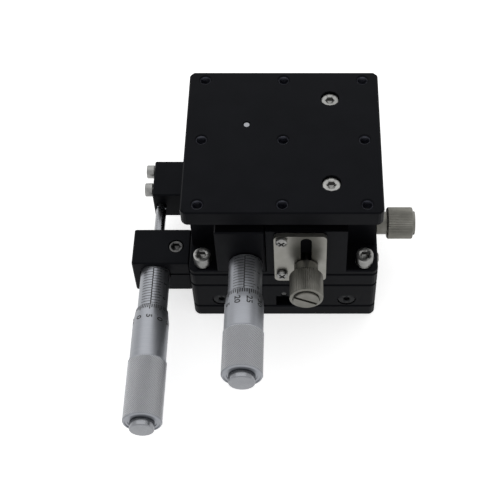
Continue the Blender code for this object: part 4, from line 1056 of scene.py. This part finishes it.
# %% What is seen, and what lights
def white_for_camera(tree, shown, lit):
    """One shader for what is seen or reflected, another for what lights."""
    path = tree.nodes.new("ShaderNodeLightPath")
    seen = path.outputs["Is Camera Ray"]
    for kind in ("Is Glossy Ray", "Is Transmission Ray"):
        either = tree.nodes.new("ShaderNodeMath")
        either.operation = "MAXIMUM"
        tree.links.new(seen, either.inputs[0])
        tree.links.new(path.outputs[kind], either.inputs[1])
        seen = either.outputs[0]
    mix = tree.nodes.new("ShaderNodeMixShader")
    tree.links.new(seen, mix.inputs["Fac"])
    tree.links.new(lit, mix.inputs[1])
    tree.links.new(shown, mix.inputs[2])
    return mix.outputs[0]


WHITE = (1, 1, 1, 1)
ROOM_LIGHT, ROOM_WHITE = 0.5, 1.0
world = bpy.data.worlds.new("studio")
bpy.context.scene.world = world
world.use_nodes = True
air = world.node_tree
lit_air = air.nodes["Background"]
lit_air.inputs["Color"].default_value = WHITE
lit_air.inputs["Strength"].default_value = ROOM_LIGHT
seen_air = air.nodes.new("ShaderNodeBackground")
seen_air.inputs["Color"].default_value = WHITE
seen_air.inputs["Strength"].default_value = ROOM_WHITE
air.links.new(white_for_camera(air, seen_air.outputs[0], lit_air.outputs[0]),
              air.nodes["World Output"].inputs["Surface"])
print("the room lights with", ROOM_LIGHT, "and is seen at", ROOM_WHITE)

# %% [markdown]
# The floor is a large sheet of matt paper. A floor that only shines white would hold no shadow,
# and the stage would seem to float. Its paper therefore stays a plain lit surface, and a glow is
# added only for the rays that see it, which lifts it to white and leaves the soft shadow in.

# %% Floor
PAPER, GLOW = (0.9, 0.9, 0.9), 0.65
floor_shape = bmesh.new()
bmesh.ops.create_grid(floor_shape, x_segments=1, y_segments=1, size=1.5)
floor_mesh = bpy.data.meshes.new("floor")
floor_shape.to_mesh(floor_mesh)
floor_shape.free()
floor = bpy.data.objects.new("floor", floor_mesh)
bpy.context.scene.collection.objects.link(floor)
paper, sheet, paper_surface = shader("white_paper", PAPER, 0, 0.9, 0.1)
glow = sheet.nodes.new("ShaderNodeEmission")
glow.inputs["Color"].default_value = WHITE
glow.inputs["Strength"].default_value = GLOW
together = sheet.nodes.new("ShaderNodeAddShader")
sheet.links.new(paper_surface.outputs[0], together.inputs[0])
sheet.links.new(glow.outputs[0], together.inputs[1])
sheet.links.new(white_for_camera(sheet, together.outputs[0], paper_surface.outputs[0]),
                sheet.nodes["Material Output"].inputs["Surface"])
floor_mesh.materials.append(paper)
print("floor", [round(side, 1) for side in floor.dimensions], "m")

# %% [markdown]
# ## Lamp
# The light of the real picture is soft and comes from above and behind, so the top plate and the
# upper sides of the micrometers are bright, and the front faces stay dark. A small lamp would
# cast hard shadows. One large square softbox, raised behind the stage, gives the same even light.

# %% Softbox
def softbox(name, place, aim, size, watts):
    """A square area lamp that points at a place."""
    lamp = bpy.data.lights.new(name, "AREA")
    lamp.shape = "SQUARE"
    lamp.size = size
    lamp.energy = watts
    holder = bpy.data.objects.new(name, lamp)
    bpy.context.scene.collection.objects.link(holder)
    holder.location = place
    holder.rotation_euler = (Vector(aim) - Vector(place)).to_track_quat("-Z", "Y").to_euler()
    print(name, "of", size, "m and", watts, "W")


softbox("rear_softbox", place=(-0.1, 0.6, 0.85), aim=(0, -0.01, 0.03), size=1.6, watts=5.0)

# %% [markdown]
# ## Camera
# The camera looks down at the front of the stage through a long lens. Its place could be found by
# trying, but the plate's square grid of holes is as good as a ruler: lens, height, tilt and the
# slight shift to the side were fitted until the grid fell on its holes in the picture.

# %% Camera and colour
LENS, SENSOR, SIDE_SHIFT = 81.11, 36, -0.1041
CAMERA_PLACE = (5.835 * MM, -226.79 * MM, 317.53 * MM)
CAMERA_TILT = math.radians(35.319)
camera_data = bpy.data.cameras.new("camera")
camera_data.lens = LENS
camera_data.sensor_width = SENSOR
camera_data.shift_x = SIDE_SHIFT
camera = bpy.data.objects.new("camera", camera_data)
bpy.context.scene.collection.objects.link(camera)
camera.location = CAMERA_PLACE
camera.rotation_euler = (CAMERA_TILT, 0, 0)
bpy.context.scene.camera = camera
bpy.context.scene.view_settings.view_transform = "Standard"
print("camera", round(math.dist(CAMERA_PLACE, (0, 0, 0)) / MM), "mm from the stage's middle")
